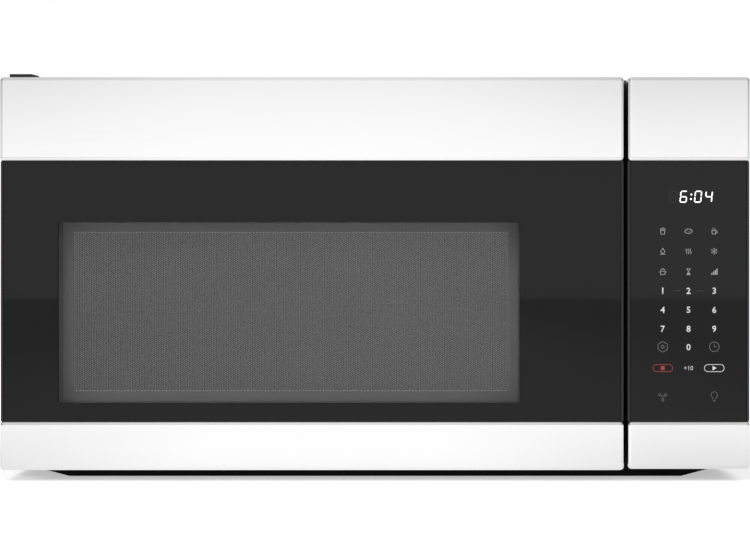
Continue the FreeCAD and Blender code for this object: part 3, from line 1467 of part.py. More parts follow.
def make_latch_board():
    """Latch board behind the face, with a catch ledge in each hook way, and its three switches."""
    wide = ("latch_x - 16", "latch_x + 16")
    deep = ("face_in", "hook_tip + part_gap + 4 + switch_deep")
    tall = ("latch_low - hook_tall / 2 - 14", "latch_high + hook_tall / 2 + 18")
    way_x = ("latch_x - latch_wide / 2 - latch_slot_play", "latch_x + latch_wide / 2 + latch_slot_play")
    ways = [
        block(f"latch_way_{name}", way_x, ("face_in - 1", f"{deep[1]} + 1"),
              (f"{z} - hook_tall / 2 - latch_slot_play",
               f"{z} + hook_tall / 2 + latch_slot_play + latch_travel"))
        for name, z in (("low", "latch_low"), ("high", "latch_high"))
    ]
    relief = block("latch_relief", (f"{wide[0]} + 3", f"{wide[1]} + 1"), (f"{deep[0]} + 3", f"{deep[1]} + 1"),
                   ("latch_low + hook_tall / 2 + latch_slot_play + latch_travel + 3",
                    "latch_high - hook_tall / 2 - latch_slot_play - 3"))
    board = cut("latch_frame", block("latch_blank", wide, deep, tall), relief, *ways)
    ledges = [
        block(f"latch_ledge_{name}", way_x, ("face_in + 4", "face_in + 8"),
              (f"{z} - hook_tall / 2 - latch_slot_play", f"{z} - hook_tall / 2 - part_gap"))
        for name, z in (("low", "latch_low"), ("high", "latch_high"))
    ]
    piece("latch_board", join("latch_board_all", board, *ledges))

    switch_front = "hook_tip + part_gap + 4"
    switches = []
    for name, z in SWITCH_HEIGHTS.items():
        case = block(f"switch_case_{name}", way_x, (switch_front, f"{switch_front} + switch_deep"),
                     (f"{z} - switch_tall / 2", f"{z} + switch_tall / 2"))
        bore = rod(f"switch_bore_{name}", "y", "switch_button + bush_play",
                   (f"{switch_front} - 1", f"{switch_front} + 8"), ("latch_x", z))
        switches.append(cut(f"switch_{name}", case, bore))
        piece(f"{name}_switch_button",
              rod(f"switch_plunger_{name}", "y", "switch_button",
                  ("hook_tip + part_gap", f"{switch_front} + 8 - switch_travel - part_gap"), ("latch_x", z)))
    piece("interlock_switches", together("switches", *switches))


def make_hinges():
    """Hinge brackets with their pins, and the nylon bushes in the door."""
    upper_x = ("leaf_left", "leaf_right")
    lower_x = ("hinge_x - hinge_leaf_nose", "leaf_right")
    upper = body("upper_leaf")
    plan = sketch_on(upper, "upper_leaf_plan", "XY", "case_high")
    outline(
        plan,
        [
            (upper_x[0], "hinge_y - hinge_leaf_nose"),
            (f"{upper_x[1]} - hinge_leaf_slope", "hinge_y - hinge_leaf_nose"),
            (upper_x[1], "hinge_y + hinge_leaf_nose"),
            (upper_x[1], "hinge_y + hinge_leaf_long"),
            (upper_x[0], "hinge_y + hinge_leaf_long"),
        ],
    )
    pad(upper, plan, "hinge_plate")
    upper_pin = rod("upper_pin", "z", "hinge_pin_radius", ("door_high - hinge_pin_long", "case_high"),
                    ("hinge_x", "hinge_y"))
    piece("upper_hinge_bracket", join("upper_hinge", upper, upper_pin))
    leaf_z = ("lower_leaf_low", "lower_leaf_low + lower_leaf")
    flange = block("lower_flange", lower_x, ("face_in", "face_in + lower_leaf"),
                   (leaf_z[0], f"{leaf_z[0]} + lower_flange_tall"))
    leaf = block("lower_leaf_plate", lower_x, ("hinge_y - hinge_leaf_nose", "face_in"), leaf_z)
    pin = rod("lower_pin", "z", "hinge_pin_radius", (leaf_z[1], f"{leaf_z[1]} + hinge_pin_long"),
              ("hinge_x", "hinge_y"))
    piece("lower_hinge_bracket", join("lower_hinge", leaf, flange, pin))
    bore = "hinge_pin_radius + bush_play"
    notch_top = "lower_leaf_low + lower_leaf + 1"
    bushes = [
        cut(f"bush_{name}", rod(f"bush_{name}_blank", "z", "bush_radius", span, ("hinge_x", "hinge_y")),
            rod(f"bush_{name}_bore", "z", bore, (f"{span[0]} - 1", f"{span[1]} + 1"), ("hinge_x", "hinge_y")))
        for name, span in (
            ("low", (notch_top, "door_low + 5 + hinge_pin_long + 2")),
            ("high", ("door_high - hinge_pin_long - 2", "door_high - band_metal")),
        )
    ]
    piece("hinge_bushes", together("bushes", *bushes))


def make_door():
    """The whole door: frame, glass, bands, choke, inside parts, latch and hinges."""
    make_door_frame()
    glass_pane("door", "door_left", "door_right")
    band("door_trim_top", "door_left", "door_right", "glass_high", "door_high", "low")
    band("door_trim_bottom", "door_left", "door_right", "door_low", "glass_low", "high")
    make_choke()
    make_door_inside()
    make_latch()
    make_latch_board()
    make_hinges()


def check_and_write():
    """Stops on any failed object or bad shape, then writes each piece to its own file."""
    doc.recompute()
    failed = [o.Name for o in doc.Objects if {"Invalid", "Error"} & set(o.State)]
    if failed:
        raise RuntimeError(f"these objects failed: {failed}")
    for thing in PIECES:
        if thing.Shape.isNull() or not thing.Shape.isValid() or not thing.Shape.Solids:
            raise RuntimeError(f"{thing.Label} has a bad shape")
    os.makedirs("parts", exist_ok=True)
    for thing in PIECES:
        thing.Shape.exportStep(os.path.join("parts", thing.Label + ".step"))
    print(len(PIECES), "pieces written")


fill_sheet()
fill_places()
make_case()
make_rear_plate()
make_base_pan()
make_filters()
make_cooktop_lamp()
make_front_plate()
make_cavity()
make_turntable()
make_waveguide()
make_magnetron()
make_electrics()
make_cooling_fan()
make_cavity_lamp()
make_blower()
make_top()
make_control_panel()
make_door()
check_and_write()
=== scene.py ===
"""Over-the-range microwave oven: finishes and fine pieces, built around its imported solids.

Frame: X to the right, Y to the back, Z up, in metres. The origin is under the middle of the base pan.
"""

import json
import logging
import math
from dataclasses import dataclass
from enum import Enum
from functools import cache
from typing import Any, Iterable, Sequence

import bmesh
import bpy
from mathutils import Matrix, Vector

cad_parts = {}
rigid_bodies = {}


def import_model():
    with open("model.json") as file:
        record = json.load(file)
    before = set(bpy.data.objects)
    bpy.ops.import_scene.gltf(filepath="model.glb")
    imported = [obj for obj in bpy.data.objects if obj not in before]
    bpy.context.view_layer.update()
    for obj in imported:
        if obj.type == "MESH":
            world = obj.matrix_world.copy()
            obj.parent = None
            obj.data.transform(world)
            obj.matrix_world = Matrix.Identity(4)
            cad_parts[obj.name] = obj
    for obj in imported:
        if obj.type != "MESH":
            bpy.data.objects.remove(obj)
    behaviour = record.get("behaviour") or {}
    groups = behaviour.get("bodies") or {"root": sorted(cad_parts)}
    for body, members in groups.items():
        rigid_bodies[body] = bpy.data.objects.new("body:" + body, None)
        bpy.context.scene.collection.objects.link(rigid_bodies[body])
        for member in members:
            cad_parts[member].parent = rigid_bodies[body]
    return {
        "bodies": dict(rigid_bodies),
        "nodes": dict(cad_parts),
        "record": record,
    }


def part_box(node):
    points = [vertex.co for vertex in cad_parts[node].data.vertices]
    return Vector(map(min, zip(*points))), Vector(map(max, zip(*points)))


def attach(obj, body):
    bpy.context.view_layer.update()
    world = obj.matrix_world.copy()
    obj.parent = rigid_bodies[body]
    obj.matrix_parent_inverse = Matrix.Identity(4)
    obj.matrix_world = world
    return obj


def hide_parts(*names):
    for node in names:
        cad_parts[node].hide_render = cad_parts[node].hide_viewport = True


LOG = logging.getLogger("scene")
MM = 0.001
ROOT_3 = math.sqrt(3)

Colour = tuple[float, float, float]
Point = tuple[float, float]
Place = tuple[float, float, float]
Ramp = tuple[float, float, float, float]


# ---------------------------------------------------------------- node trees


class Graph:
    """A node tree that is being drawn up."""

    def __init__(self, tree: bpy.types.NodeTree) -> None:
        """Keeps the tree."""
        self.tree = tree

    def feed(self, socket: bpy.types.NodeSocket, value: Any) -> None:
        """Links a socket to an output, or sets its value.

        Args:
            socket: the input to feed.
            value: another node's output, or a plain value.
        """
        if isinstance(value, bpy.types.NodeSocket):
            self.tree.links.new(value, socket)
        else:
            socket.default_value = value

    def add(self, kind: str, inputs: dict[str, Any] | None = None, **settings: Any) -> bpy.types.Node:
        """Adds a node.

        Args:
            kind: the node's type.
            inputs: what goes into its sockets, by their names.
            settings: the node's own properties.

        Returns:
            The new node.
        """
        node = self.tree.nodes.new(kind)
        for name, value in settings.items():
            setattr(node, name, value)
        for name, value in (inputs or {}).items():
            self.feed(node.inputs[name], value)
        return node

    def maths(self, operation: str, *values: Any) -> bpy.types.NodeSocket:
        """Works out one number from others.

        Args:
            operation: the Math node's operation.
            values: outputs or plain numbers, in the operation's order.

        Returns:
            The result's socket.
        """
        node = self.add("ShaderNodeMath", operation=operation)
        for socket, value in zip(node.inputs, values):
            self.feed(socket, value)
        return node.outputs[0]

    def vector(self, x: Any = 0.0, y: Any = 0.0, z: Any = 0.0) -> bpy.types.NodeSocket:
        """Joins three numbers into a vector."""
        return self.add("ShaderNodeCombineXYZ", {"X": x, "Y": y, "Z": z}).outputs[0]

    def axes(self, vector: Any) -> bpy.types.NodeOutputs:
        """Splits a vector into its X, Y and Z."""
        return self.add("ShaderNodeSeparateXYZ", {"Vector": vector}).outputs

    def place(self) -> bpy.types.NodeSocket:
        """The shaded point, on Object coordinates."""
        return self.add("ShaderNodeTexCoord").outputs["Object"]

    def noise(self, place: Any, scale: Any, detail: float = 2.0) -> bpy.types.NodeSocket:
        """A soft noise at a place, around 0.5."""
        inputs = {"Vector": place, "Scale": scale, "Detail": detail}
        return self.add("ShaderNodeTexNoise", inputs).outputs["Fac"]

    def reach(self, first: Any, second: Any) -> bpy.types.NodeSocket:
        """How far a point lies past a corner, from how far it is past each side.

        Args:
            first: how far past one side, negative within it.
            second: how far past the other side.

        Returns:
            The distance's socket, 0 within both sides.
        """
        squares = [self.maths("POWER", self.maths("MAXIMUM", past, 0.0), 2.0) for past in (first, second)]
        return self.maths("SQRT", self.maths("ADD", *squares))

    def ramp(self, value: Any, start: float, end: float, low: float, high: float) -> bpy.types.NodeSocket:
        """Maps a number smoothly from one range onto another.

        Args:
            value: the number's socket.
            start: where the first range starts.
            end: where the first range ends.
            low: the result up to the start.
            high: the result from the end on.

        Returns:
            The result's socket.
        """
        node = self.add(
            "ShaderNodeMapRange",
            {"Value": value, "From Min": start, "From Max": end, "To Min": low, "To Max": high},
            interpolation_type="SMOOTHSTEP",
        )
        return node.outputs["Result"]

    def blend(self, share: Any, first: Colour, second: Colour) -> bpy.types.NodeSocket:
        """Mixes two colours.

        Args:
            share: how much of the second colour, as a socket.
            first: the colour at a share of 0.
            second: the colour at a share of 1.

        Returns:
            The mixed colour's socket.
        """
        node = self.add("ShaderNodeMix", data_type="RGBA")
        self.feed(node.inputs["Factor"], share)
        self.feed(node.inputs["A"], first if isinstance(first, bpy.types.NodeSocket) else (*first, 1.0))
        self.feed(node.inputs["B"], second if isinstance(second, bpy.types.NodeSocket) else (*second, 1.0))
        return node.outputs["Result"]

    def effect(self, group: bpy.types.NodeTree, **values: Any) -> bpy.types.NodeOutputs:
        """Places a shared effect.

        Args:
            group: the effect's node group.
            values: its inputs by name, with an underscore for a space.

        Returns:
            The effect's outputs.
        """
        node = self.add("ShaderNodeGroup", node_tree=group)
        for name, value in values.items():
            self.feed(node.inputs[name.replace("_", " ")], value)
        return node.outputs


def new_effect(name: str, inputs: dict[str, float], outputs: Iterable[str]) -> tuple[Graph, Any, Any]:
    """Starts a shader node group.

    Args:
        name: the group's name.
        inputs: its numbers and what they are by default.
        outputs: the names of its results, all of them numbers.

    Returns:
        The group's graph, the outputs of its input node and the inputs of its output node.
    """
    tree = bpy.data.node_groups.new(name, "ShaderNodeTree")
    for label, value in inputs.items():
        socket = tree.interface.new_socket(label, in_out="INPUT", socket_type="NodeSocketFloat")
        socket.default_value = value
    for label in outputs:
        tree.interface.new_socket(label, in_out="OUTPUT", socket_type="NodeSocketFloat")
    graph = Graph(tree)
    return graph, graph.add("NodeGroupInput").outputs, graph.add("NodeGroupOutput").inputs


@cache
def grain_effect() -> bpy.types.NodeTree:
    """Fine grain over soft patches, as on paint, moulded plastic and cast metal.

    Returns:
        A group that puts out Grain, for relief, and Patches, for tone and roughness.
    """
    sizes = {"Grain Scale": 900.0, "Patch Scale": 18.0}
    graph, given, result = new_effect("grain_and_patches", sizes, ("Grain", "Patches"))
    place = graph.place()
    graph.feed(result["Grain"], graph.noise(place, given["Grain Scale"]))
    graph.feed(result["Patches"], graph.noise(place, given["Patch Scale"], 4.0))
    return graph.tree


@cache
def brushing_effect() -> bpy.types.NodeTree:
    """Long fine lines along X, as a belt leaves them on steel.

    Returns:
        A group that puts out Lines, for relief and roughness, and Streaks, for tone.
    """
    sizes = {"Line Scale": 2600.0, "Line Length": 0.004, "Streak Scale": 160.0}
    graph, given, result = new_effect("brushed_lines", sizes, ("Lines", "Streaks"))
    axes = graph.axes(graph.place())
    along = graph.maths("MULTIPLY", axes["X"], given["Line Length"])
    stretched = graph.vector(along, axes["Y"], axes["Z"])
    graph.feed(result["Lines"], graph.noise(stretched, given["Line Scale"], 3.0))
    graph.feed(result["Streaks"], graph.noise(stretched, given["Streak Scale"]))
    return graph.tree


@cache
def spangle_effect() -> bpy.types.NodeTree:
    """Crystal flakes of a zinc coat or a cast face.

    Returns:
        A group that puts out Flakes, a number for each crystal, and Seams, low along their edges.
    """
    graph, given, result = new_effect("spangle", {"Flake Scale": 90.0}, ("Flakes", "Seams"))
    cells = {"Vector": graph.place(), "Scale": given["Flake Scale"]}
    flakes = graph.add("ShaderNodeTexVoronoi", cells)
    tone = graph.add("ShaderNodeSeparateColor", {"Color": flakes.outputs["Color"]})
    edges = graph.add("ShaderNodeTexVoronoi", cells, feature="DISTANCE_TO_EDGE")
    graph.feed(result["Flakes"], tone.outputs["Red"])
    graph.feed(result["Seams"], graph.ramp(edges.outputs["Distance"], 0.0, 0.06, 0.0, 1.0))
    return graph.tree


@cache
def dust_effect() -> bpy.types.NodeTree:
    """Dust that settles on what faces up.

    Returns:
        A group that puts out Dust, from 0 to 1.
    """
    graph, given, result = new_effect("settled_dust", {"Amount": 0.3, "Speck Scale": 240.0}, ("Dust",))
    place = graph.place()
    up = graph.axes(graph.add("ShaderNodeNewGeometry").outputs["Normal"])["Z"]
    shelf = graph.ramp(up, 0.6, 1.0, 0.0, 1.0)
    drift = graph.ramp(graph.noise(place, 9.0, 3.0), 0.35, 0.75, 0.2, 1.0)
    mixed = graph.maths("MULTIPLY", drift, graph.noise(place, given["Speck Scale"], 1.0))
    settled = graph.maths("MULTIPLY", mixed, shelf)
    graph.feed(result["Dust"], graph.maths("MULTIPLY", settled, given["Amount"]))
    return graph.tree


# ---------------------------------------------------------------- finishes


def shade(colour: Colour, factor: float) -> Colour:
    """The colour made lighter or darker, kept below white."""
    return tuple(min(channel * factor, 1.0) for channel in colour)


@dataclass(frozen=True)
class Finish:
    """A surface finish with fine grain and soft patches; each kind adds to it."""

    name: str
    colour: Colour
    roughness: float
    contrast: float = 0.08
    patch_scale: float = 18.0
    grain_scale: float = 900.0
    relief: float = 0.06
    rough_spread: float = 0.06
    specular: float = 0.5

    @cache
    def material(self) -> bpy.types.Material:
        """The finish's material, drawn once."""
        material = bpy.data.materials.new(self.name)
        material.use_nodes = True
        self.draw(Graph(material.node_tree), material.node_tree.nodes["Principled BSDF"].inputs)
        return material

    def draw(self, graph: Graph, surface: bpy.types.NodeInputs) -> None:
        """Draws the shader.

        Args:
            graph: the material's graph.
            surface: the inputs of its Principled shader.
        """
        marks = graph.effect(grain_effect(), Grain_Scale=self.grain_scale, Patch_Scale=self.patch_scale)
        self.paint(graph, surface, marks["Patches"], marks["Patches"])
        self.emboss(graph, surface, marks["Grain"])

    def paint(self, graph: Graph, surface: bpy.types.NodeInputs, tones: Any, wear: Any) -> None:
        """Sets the colour and the roughness, each a little uneven.

        Args:
            graph: the material's graph.
            surface: the inputs of its Principled shader.
            tones: what varies the colour.
            wear: what varies the roughness.
        """
        dark, pale = shade(self.colour, 1 - self.contrast), shade(self.colour, 1 + self.contrast)
        graph.feed(surface["Base Color"], graph.blend(tones, dark, pale))
        low, high = self.roughness - self.rough_spread, self.roughness + self.rough_spread
        graph.feed(surface["Roughness"], graph.ramp(wear, 0.3, 0.7, low, high))
        surface["Specular IOR Level"].default_value = self.specular

    def emboss(self, graph: Graph, surface: bpy.types.NodeInputs, height: Any) -> None:
        """Raises the surface where a height says.

        Args:
            graph: the material's graph.
            surface: the inputs of its Principled shader.
            height: the height's socket.
        """
        bump = graph.add("ShaderNodeBump", {"Height": height, "Strength": self.relief, "Distance": MM})
        graph.feed(surface["Normal"], bump.outputs["Normal"])


@dataclass(frozen=True)
class Enamel(Finish):
    """Enamel or powder coat on sheet steel, with dust where it faces up."""

    dust: float = 0.0

    def draw(self, graph: Graph, surface: bpy.types.NodeInputs) -> None:
        """Adds the dust."""
        super().draw(graph, surface)
        if self.dust:
            dust = graph.effect(dust_effect(), Amount=self.dust)["Dust"]
            plain = surface["Base Color"].links[0].from_socket
            graph.feed(surface["Base Color"], graph.blend(dust, plain, (0.5, 0.48, 0.45)))


@dataclass(frozen=True)
class Plastic(Finish):
    """Moulded plastic, a little less glossy than paint."""

    specular: float = 0.4


@dataclass(frozen=True)
class BrushedSteel(Finish):
    """Stainless steel, belt-brushed along X."""

    def draw(self, graph: Graph, surface: bpy.types.NodeInputs) -> None:
        """Draws the brushed lines instead of grain."""
        surface["Metallic"].default_value = 1.0
        lines = graph.effect(brushing_effect())
        self.paint(graph, surface, lines["Streaks"], lines["Lines"])
        self.emboss(graph, surface, lines["Lines"])


@dataclass(frozen=True)
class BareMetal(Finish):
    """Zinc-plated, cast or mill-finished metal."""

    flake_scale: float = 90.0
    flake_contrast: float = 0.1

    def draw(self, graph: Graph, surface: bpy.types.NodeInputs) -> None:
        """Adds the crystals of the metal's face."""
        super().draw(graph, surface)
        surface["Metallic"].default_value = 1.0
        flakes = graph.effect(spangle_effect(), Flake_Scale=self.flake_scale)
        plain = surface["Base Color"].links[0].from_socket
        share = graph.maths("MULTIPLY", flakes["Flakes"], self.flake_contrast)
        graph.feed(surface["Base Color"], graph.blend(share, plain, shade(self.colour, 0.4)))


@dataclass(frozen=True)
class DarkGlass(Finish):
    """Glass with black paint on its back."""

    index: float = 1.31

    def draw(self, graph: Graph, surface: bpy.types.NodeInputs) -> None:
        """Sets how much the glass mirrors."""
        super().draw(graph, surface)
        surface["IOR"].default_value = self.index


@dataclass(frozen=True)
class WindowGlass(DarkGlass):
    """Glass with a see-through window in its black paint."""

    left: float = 0.0
    right: float = 1.0
    low: float = 0.0
    high: float = 1.0
    corner: float = 2 * MM
    edge: float = 0.5 * MM
    tint: float = 0.16

    def draw(self, graph: Graph, surface: bpy.types.NodeInputs) -> None:
        """Cuts the window into the paint."""
        super().draw(graph, surface)
        axes = graph.axes(graph.place())
        past = []
        for axis, low, high in (("X", self.left, self.right), ("Z", self.low, self.high)):
            away = graph.maths("ABSOLUTE", graph.maths("SUBTRACT", axes[axis], (low + high) / 2))
            past.append(graph.maths("SUBTRACT", away, (high - low) / 2 - self.corner))
        distance = graph.maths("SUBTRACT", graph.reach(*past), self.corner)
        alpha = graph.ramp(distance, -self.edge, 0.0, self.tint, 1.0)
        graph.feed(surface["Alpha"], alpha)


@dataclass(frozen=True)
class ThinFilm(Finish):
    """A sheet that lets part of the light straight through, and may shine as painted light, though it is no
    lamp.
    """

    alpha: float = 0.3
    glow: float = 0.0
    clear_from_behind: bool = False

    def draw(self, graph: Graph, surface: bpy.types.NodeInputs) -> None:
        """Lets light through, a little unevenly."""
        super().draw(graph, surface)
        patches = surface["Roughness"].links[0].from_node.inputs["Value"].links[0].from_socket
        cover = graph.ramp(patches, 0.2, 0.8, self.alpha * 0.97, self.alpha * 1.03)
        if self.clear_from_behind:
            behind = graph.add("ShaderNodeNewGeometry").outputs["Backfacing"]
            cover = graph.maths("MULTIPLY", cover, graph.maths("SUBTRACT", 1.0, behind))
        graph.feed(surface["Alpha"], cover)
        # painted light: the film shines though it is no lamp, so the screen's holes read lighter
        if self.glow:
            graph.feed(surface["Emission Color"], surface["Base Color"].links[0].from_socket)
            surface["Emission Strength"].default_value = self.glow


@dataclass(frozen=True)
class ClearGlass(Finish):
    """Solid clear glass."""

    def draw(self, graph: Graph, surface: bpy.types.NodeInputs) -> None:
        """Lets light through the solid glass."""
        super().draw(graph, surface)
        surface["Transmission Weight"].default_value = 1.0
        surface["IOR"].default_value = 1.5


@dataclass(frozen=True)
class Glow(Finish):
    """A lit display segment."""

    power: float = 1.0

    def draw(self, graph: Graph, surface: bpy.types.NodeInputs) -> None:
        """Makes the segment shine."""
        super().draw(graph, surface)
        tone = surface["Base Color"].links[0].from_socket
        graph.feed(surface["Emission Color"], tone)
        surface["Emission Strength"].default_value = self.power


@dataclass(frozen=True)
class CircuitBoard(Finish):
    """Green lacquer over copper tracks."""

    def draw(self, graph: Graph, surface: bpy.types.NodeInputs) -> None:
        """Draws the tracks under the lacquer."""
        super().draw(graph, surface)
        upright = {"Vector": graph.place(), "Rotation": (math.pi / 2, 0.0, 0.0)}
        turned = graph.add("ShaderNodeMapping", upright)
        tracks = graph.add(
            "ShaderNodeTexBrick",
            {"Vector": turned.outputs["Vector"], "Scale": 1.0, "Mortar Size": 0.0006, "Brick Width": 0.017,
             "Row Height": 0.0042},
        )
        plain = surface["Base Color"].links[0].from_socket
        graph.feed(surface["Base Color"], graph.blend(tracks.outputs["Fac"], plain, (0.12, 0.3, 0.1)))


@dataclass(frozen=True)
class Granules(Finish):
    """Pressed charcoal granules."""

    granule_scale: float = 420.0

    def draw(self, graph: Graph, surface: bpy.types.NodeInputs) -> None:
        """Draws each granule's tone and relief."""
        super().draw(graph, surface)
        grains = graph.effect(spangle_effect(), Flake_Scale=self.granule_scale)
        dark, pale = shade(self.colour, 0.5), shade(self.colour, 1.9)
        graph.feed(surface["Base Color"], graph.blend(grains["Flakes"], dark, pale))
        self.emboss(graph, surface, grains["Seams"])


class Finishes:
    """Every finish of the oven, by the record's slot, and those of the pieces made here."""

    steel = BrushedSteel("brushed stainless", (0.98, 0.98, 0.98), 0.13, 0.006, relief=0.006,
                         rough_spread=0.015)
    case = Enamel("black case enamel", (0.02, 0.02, 0.0212), 0.42, 0.05, grain_scale=1600.0,
                  rough_spread=0.02, specular=0.4, dust=0.06)
    # The pan's black is darker than the case's: partly its own black enamel, partly painted shade, as its
    # front lies in shadow under the door.
    pan = Enamel("base pan enamel with painted shade", (0.007, 0.007, 0.0072), 0.5, 0.12, grain_scale=1600.0, specular=0.06)
    cavity = Enamel("grey cavity enamel", (0.56, 0.565, 0.56), 0.42, 0.012, relief=0.01, rough_spread=0.015,
                    specular=0.35)
    face = Enamel("dark face enamel", (0.09, 0.09, 0.094), 0.45, 0.04, grain_scale=1600.0, rough_spread=0.02)
    # The holes' near-black is painted shade, for the gap behind the cavity's wall.
    pierced = Enamel("pierced holes", (0.012, 0.012, 0.012), 0.7, 0.05, specular=0.1)
    choke = Enamel("choke paint", (0.1, 0.1, 0.105), 0.5, 0.08)
    # The border's grey is lighter than the perforated web's paint: partly its own grey, partly painted light
    # that lifts the shade of the window's recess.
    screen = Enamel("screen paint", (0.31, 0.31, 0.312), 0.55, 0.02, relief=0.02, specular=0.2)
    mesh_paint = Enamel("perforated screen paint", (0.06, 0.06, 0.061), 0.55, 0.02, relief=0.02, specular=0.1)
    lining = Plastic("window lining", (0.2, 0.2, 0.202), 0.5, 0.02, relief=0.02, specular=0.2)
    zinc = BareMetal("bright zinc", (0.62, 0.63, 0.65), 0.34, 0.04, flake_scale=130.0, flake_contrast=0.16)
    # A dark sheet of painted shade, for the depth inside each grease filter.
    filter_depth = BareMetal("filter's painted shade sheet", (0.1, 0.1, 0.105), 0.6, 0.15, patch_scale=120.0,
                             relief=0.2)
    dark_zinc = BareMetal("blackened zinc", (0.08, 0.08, 0.085), 0.4, 0.06, flake_scale=400.0)
    iron = BareMetal("laminated iron", (0.2, 0.2, 0.21), 0.5, 0.1, flake_scale=400.0, relief=0.12)
    aluminium = BareMetal("mill aluminium", (0.8, 0.81, 0.82), 0.32, 0.04, flake_scale=300.0,
                          flake_contrast=0.08)
    dark_plastic = Plastic("black moulded plastic", (0.022, 0.022, 0.023), 0.42, 0.1, grain_scale=1300.0)
    grey_plastic = Plastic("grey moulded plastic", (0.2, 0.2, 0.208), 0.45, 0.05, grain_scale=1300.0)
    white_plastic = Plastic("white moulded plastic", (0.8, 0.8, 0.78), 0.4, 0.03, grain_scale=1300.0)
    red_plastic = Plastic("red button plastic", (0.5, 0.03, 0.02), 0.35, 0.05)
    panel_glass = DarkGlass("painted panel glass", (0.0105, 0.0105, 0.0107), 0.03, 0.04, relief=0.0,
                            rough_spread=0.012)
    # The window film's emission is painted light that lights the screen's holes; the film is no lamp.
    window_film = ThinFilm("window film", (0.62, 0.62, 0.62), 0.5, 0.01, relief=0.02, alpha=0.95, glow=0.3,
                           clear_from_behind=True)
    film_back = ThinFilm("window film's back", (0.62, 0.62, 0.62), 0.5, 0.01, relief=0.0, alpha=0.01)
    inner_film = ThinFilm("inner window film", (0.5, 0.5, 0.5), 0.12, 0.02, relief=0.0, alpha=0.12)
    clear = ClearGlass("tray glass", (0.93, 0.97, 0.95), 0.05, 0.01, relief=0.01, rough_spread=0.03)
    lens = ThinFilm("frosted lens", (0.85, 0.86, 0.86), 0.45, 0.02, grain_scale=700.0, relief=0.3, alpha=0.75)
    mica = Finish("mica", (0.62, 0.56, 0.44), 0.38, 0.14, patch_scale=55.0, relief=0.1)
    board = CircuitBoard("board lacquer", (0.03, 0.17, 0.08), 0.35, 0.1)
    charcoal = Granules("charcoal granules", (0.03, 0.03, 0.03), 0.85, relief=0.6)
    white_ink = Finish("white ink", (0.86, 0.86, 0.86), 0.5, 0.03, relief=0.02)
    label_ink = Finish("label ink", (0.52, 0.52, 0.52), 0.5, 0.03, relief=0.02)
    icon_ink = Finish("icon ink", (0.17, 0.17, 0.17), 0.5, 0.04, relief=0.02)
    faint_ink = Finish("faint ink", (0.06, 0.06, 0.06), 0.5, 0.04, relief=0.02)
    red_ink = Finish("red ink", (0.42, 0.05, 0.045), 0.5, 0.04, relief=0.02)
    digit_light = Glow("lit segments", (0.96, 0.97, 1.0), 0.4, 0.01, relief=0.0, power=1.0)
    digit_off = Finish("unlit segments", (0.0125, 0.0125, 0.013), 0.35, 0.05, relief=0.0)

    @classmethod
    def of_slots(cls, window: WindowGlass) -> dict[str, Finish]:
        """The finish of each material slot of the record.

        Args:
            window: the door glass's finish, which needs the window's place.

        Returns:
            Finishes by the slots' names.
        """
        return {
            "black_enamel": cls.case, "grey_enamel": cls.cavity, "face_enamel": cls.face,
            "choke_paint": cls.choke, "screen_paint": cls.screen, "stainless": cls.steel, "zinc": cls.zinc,
            "iron": cls.iron, "aluminium": cls.aluminium, "black_plastic": cls.dark_plastic,
            "black_glass": cls.panel_glass, "door_glass": window, "clear_glass": cls.clear,
            "white_plastic": cls.white_plastic, "grey_plastic": cls.grey_plastic, "mica": cls.mica,
            "board_green": cls.board, "charcoal": cls.charcoal, "red_plastic": cls.red_plastic,
        }


def dress(part: bpy.types.Object, finish: Finish) -> None:
    """Gives a CAD part's object its finish.

    Args:
        part: the object, whose mesh stays as it is.
        finish: what covers it.
    """
    if not part.data.materials:
        part.data.materials.append(finish.material())
    for slot in part.material_slots:
        slot.material = finish.material()


# ---------------------------------------------------------------- pieces


def place_piece(mesh: bpy.types.Mesh, name: str, body: str, replaced: Sequence[str] = ()) -> None:
    """Puts a finished mesh into the scene as a piece of the oven.

    Args:
        mesh: the mesh, in its place in the row frame.
        name: the piece's name.
        body: the CAD body that it rides on.
        replaced: the CAD nodes that it stands for.
    """
    mesh.name = name
    piece = bpy.data.objects.new(name, mesh)
    bpy.context.scene.collection.objects.link(piece)
    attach(piece, body)
    if replaced:
        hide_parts(*replaced)
    LOG.info("piece %s on %s: %d faces", name, body, len(mesh.polygons))


def mesh_of(bm: bmesh.types.BMesh, finish: Finish) -> bpy.types.Mesh:
    """Closes a bmesh into a mesh with outward faces.

    Args:
        bm: the faces, freed afterwards.
        finish: what covers them.

    Returns:
        The mesh.
    """
    bmesh.ops.remove_doubles(bm, verts=bm.verts, dist=1e-7)
    bmesh.ops.recalc_face_normals(bm, faces=bm.faces)
    mesh = bpy.data.meshes.new("made")
    bm.to_mesh(mesh)
    bm.free()
    mesh.materials.append(finish.material())
    return mesh


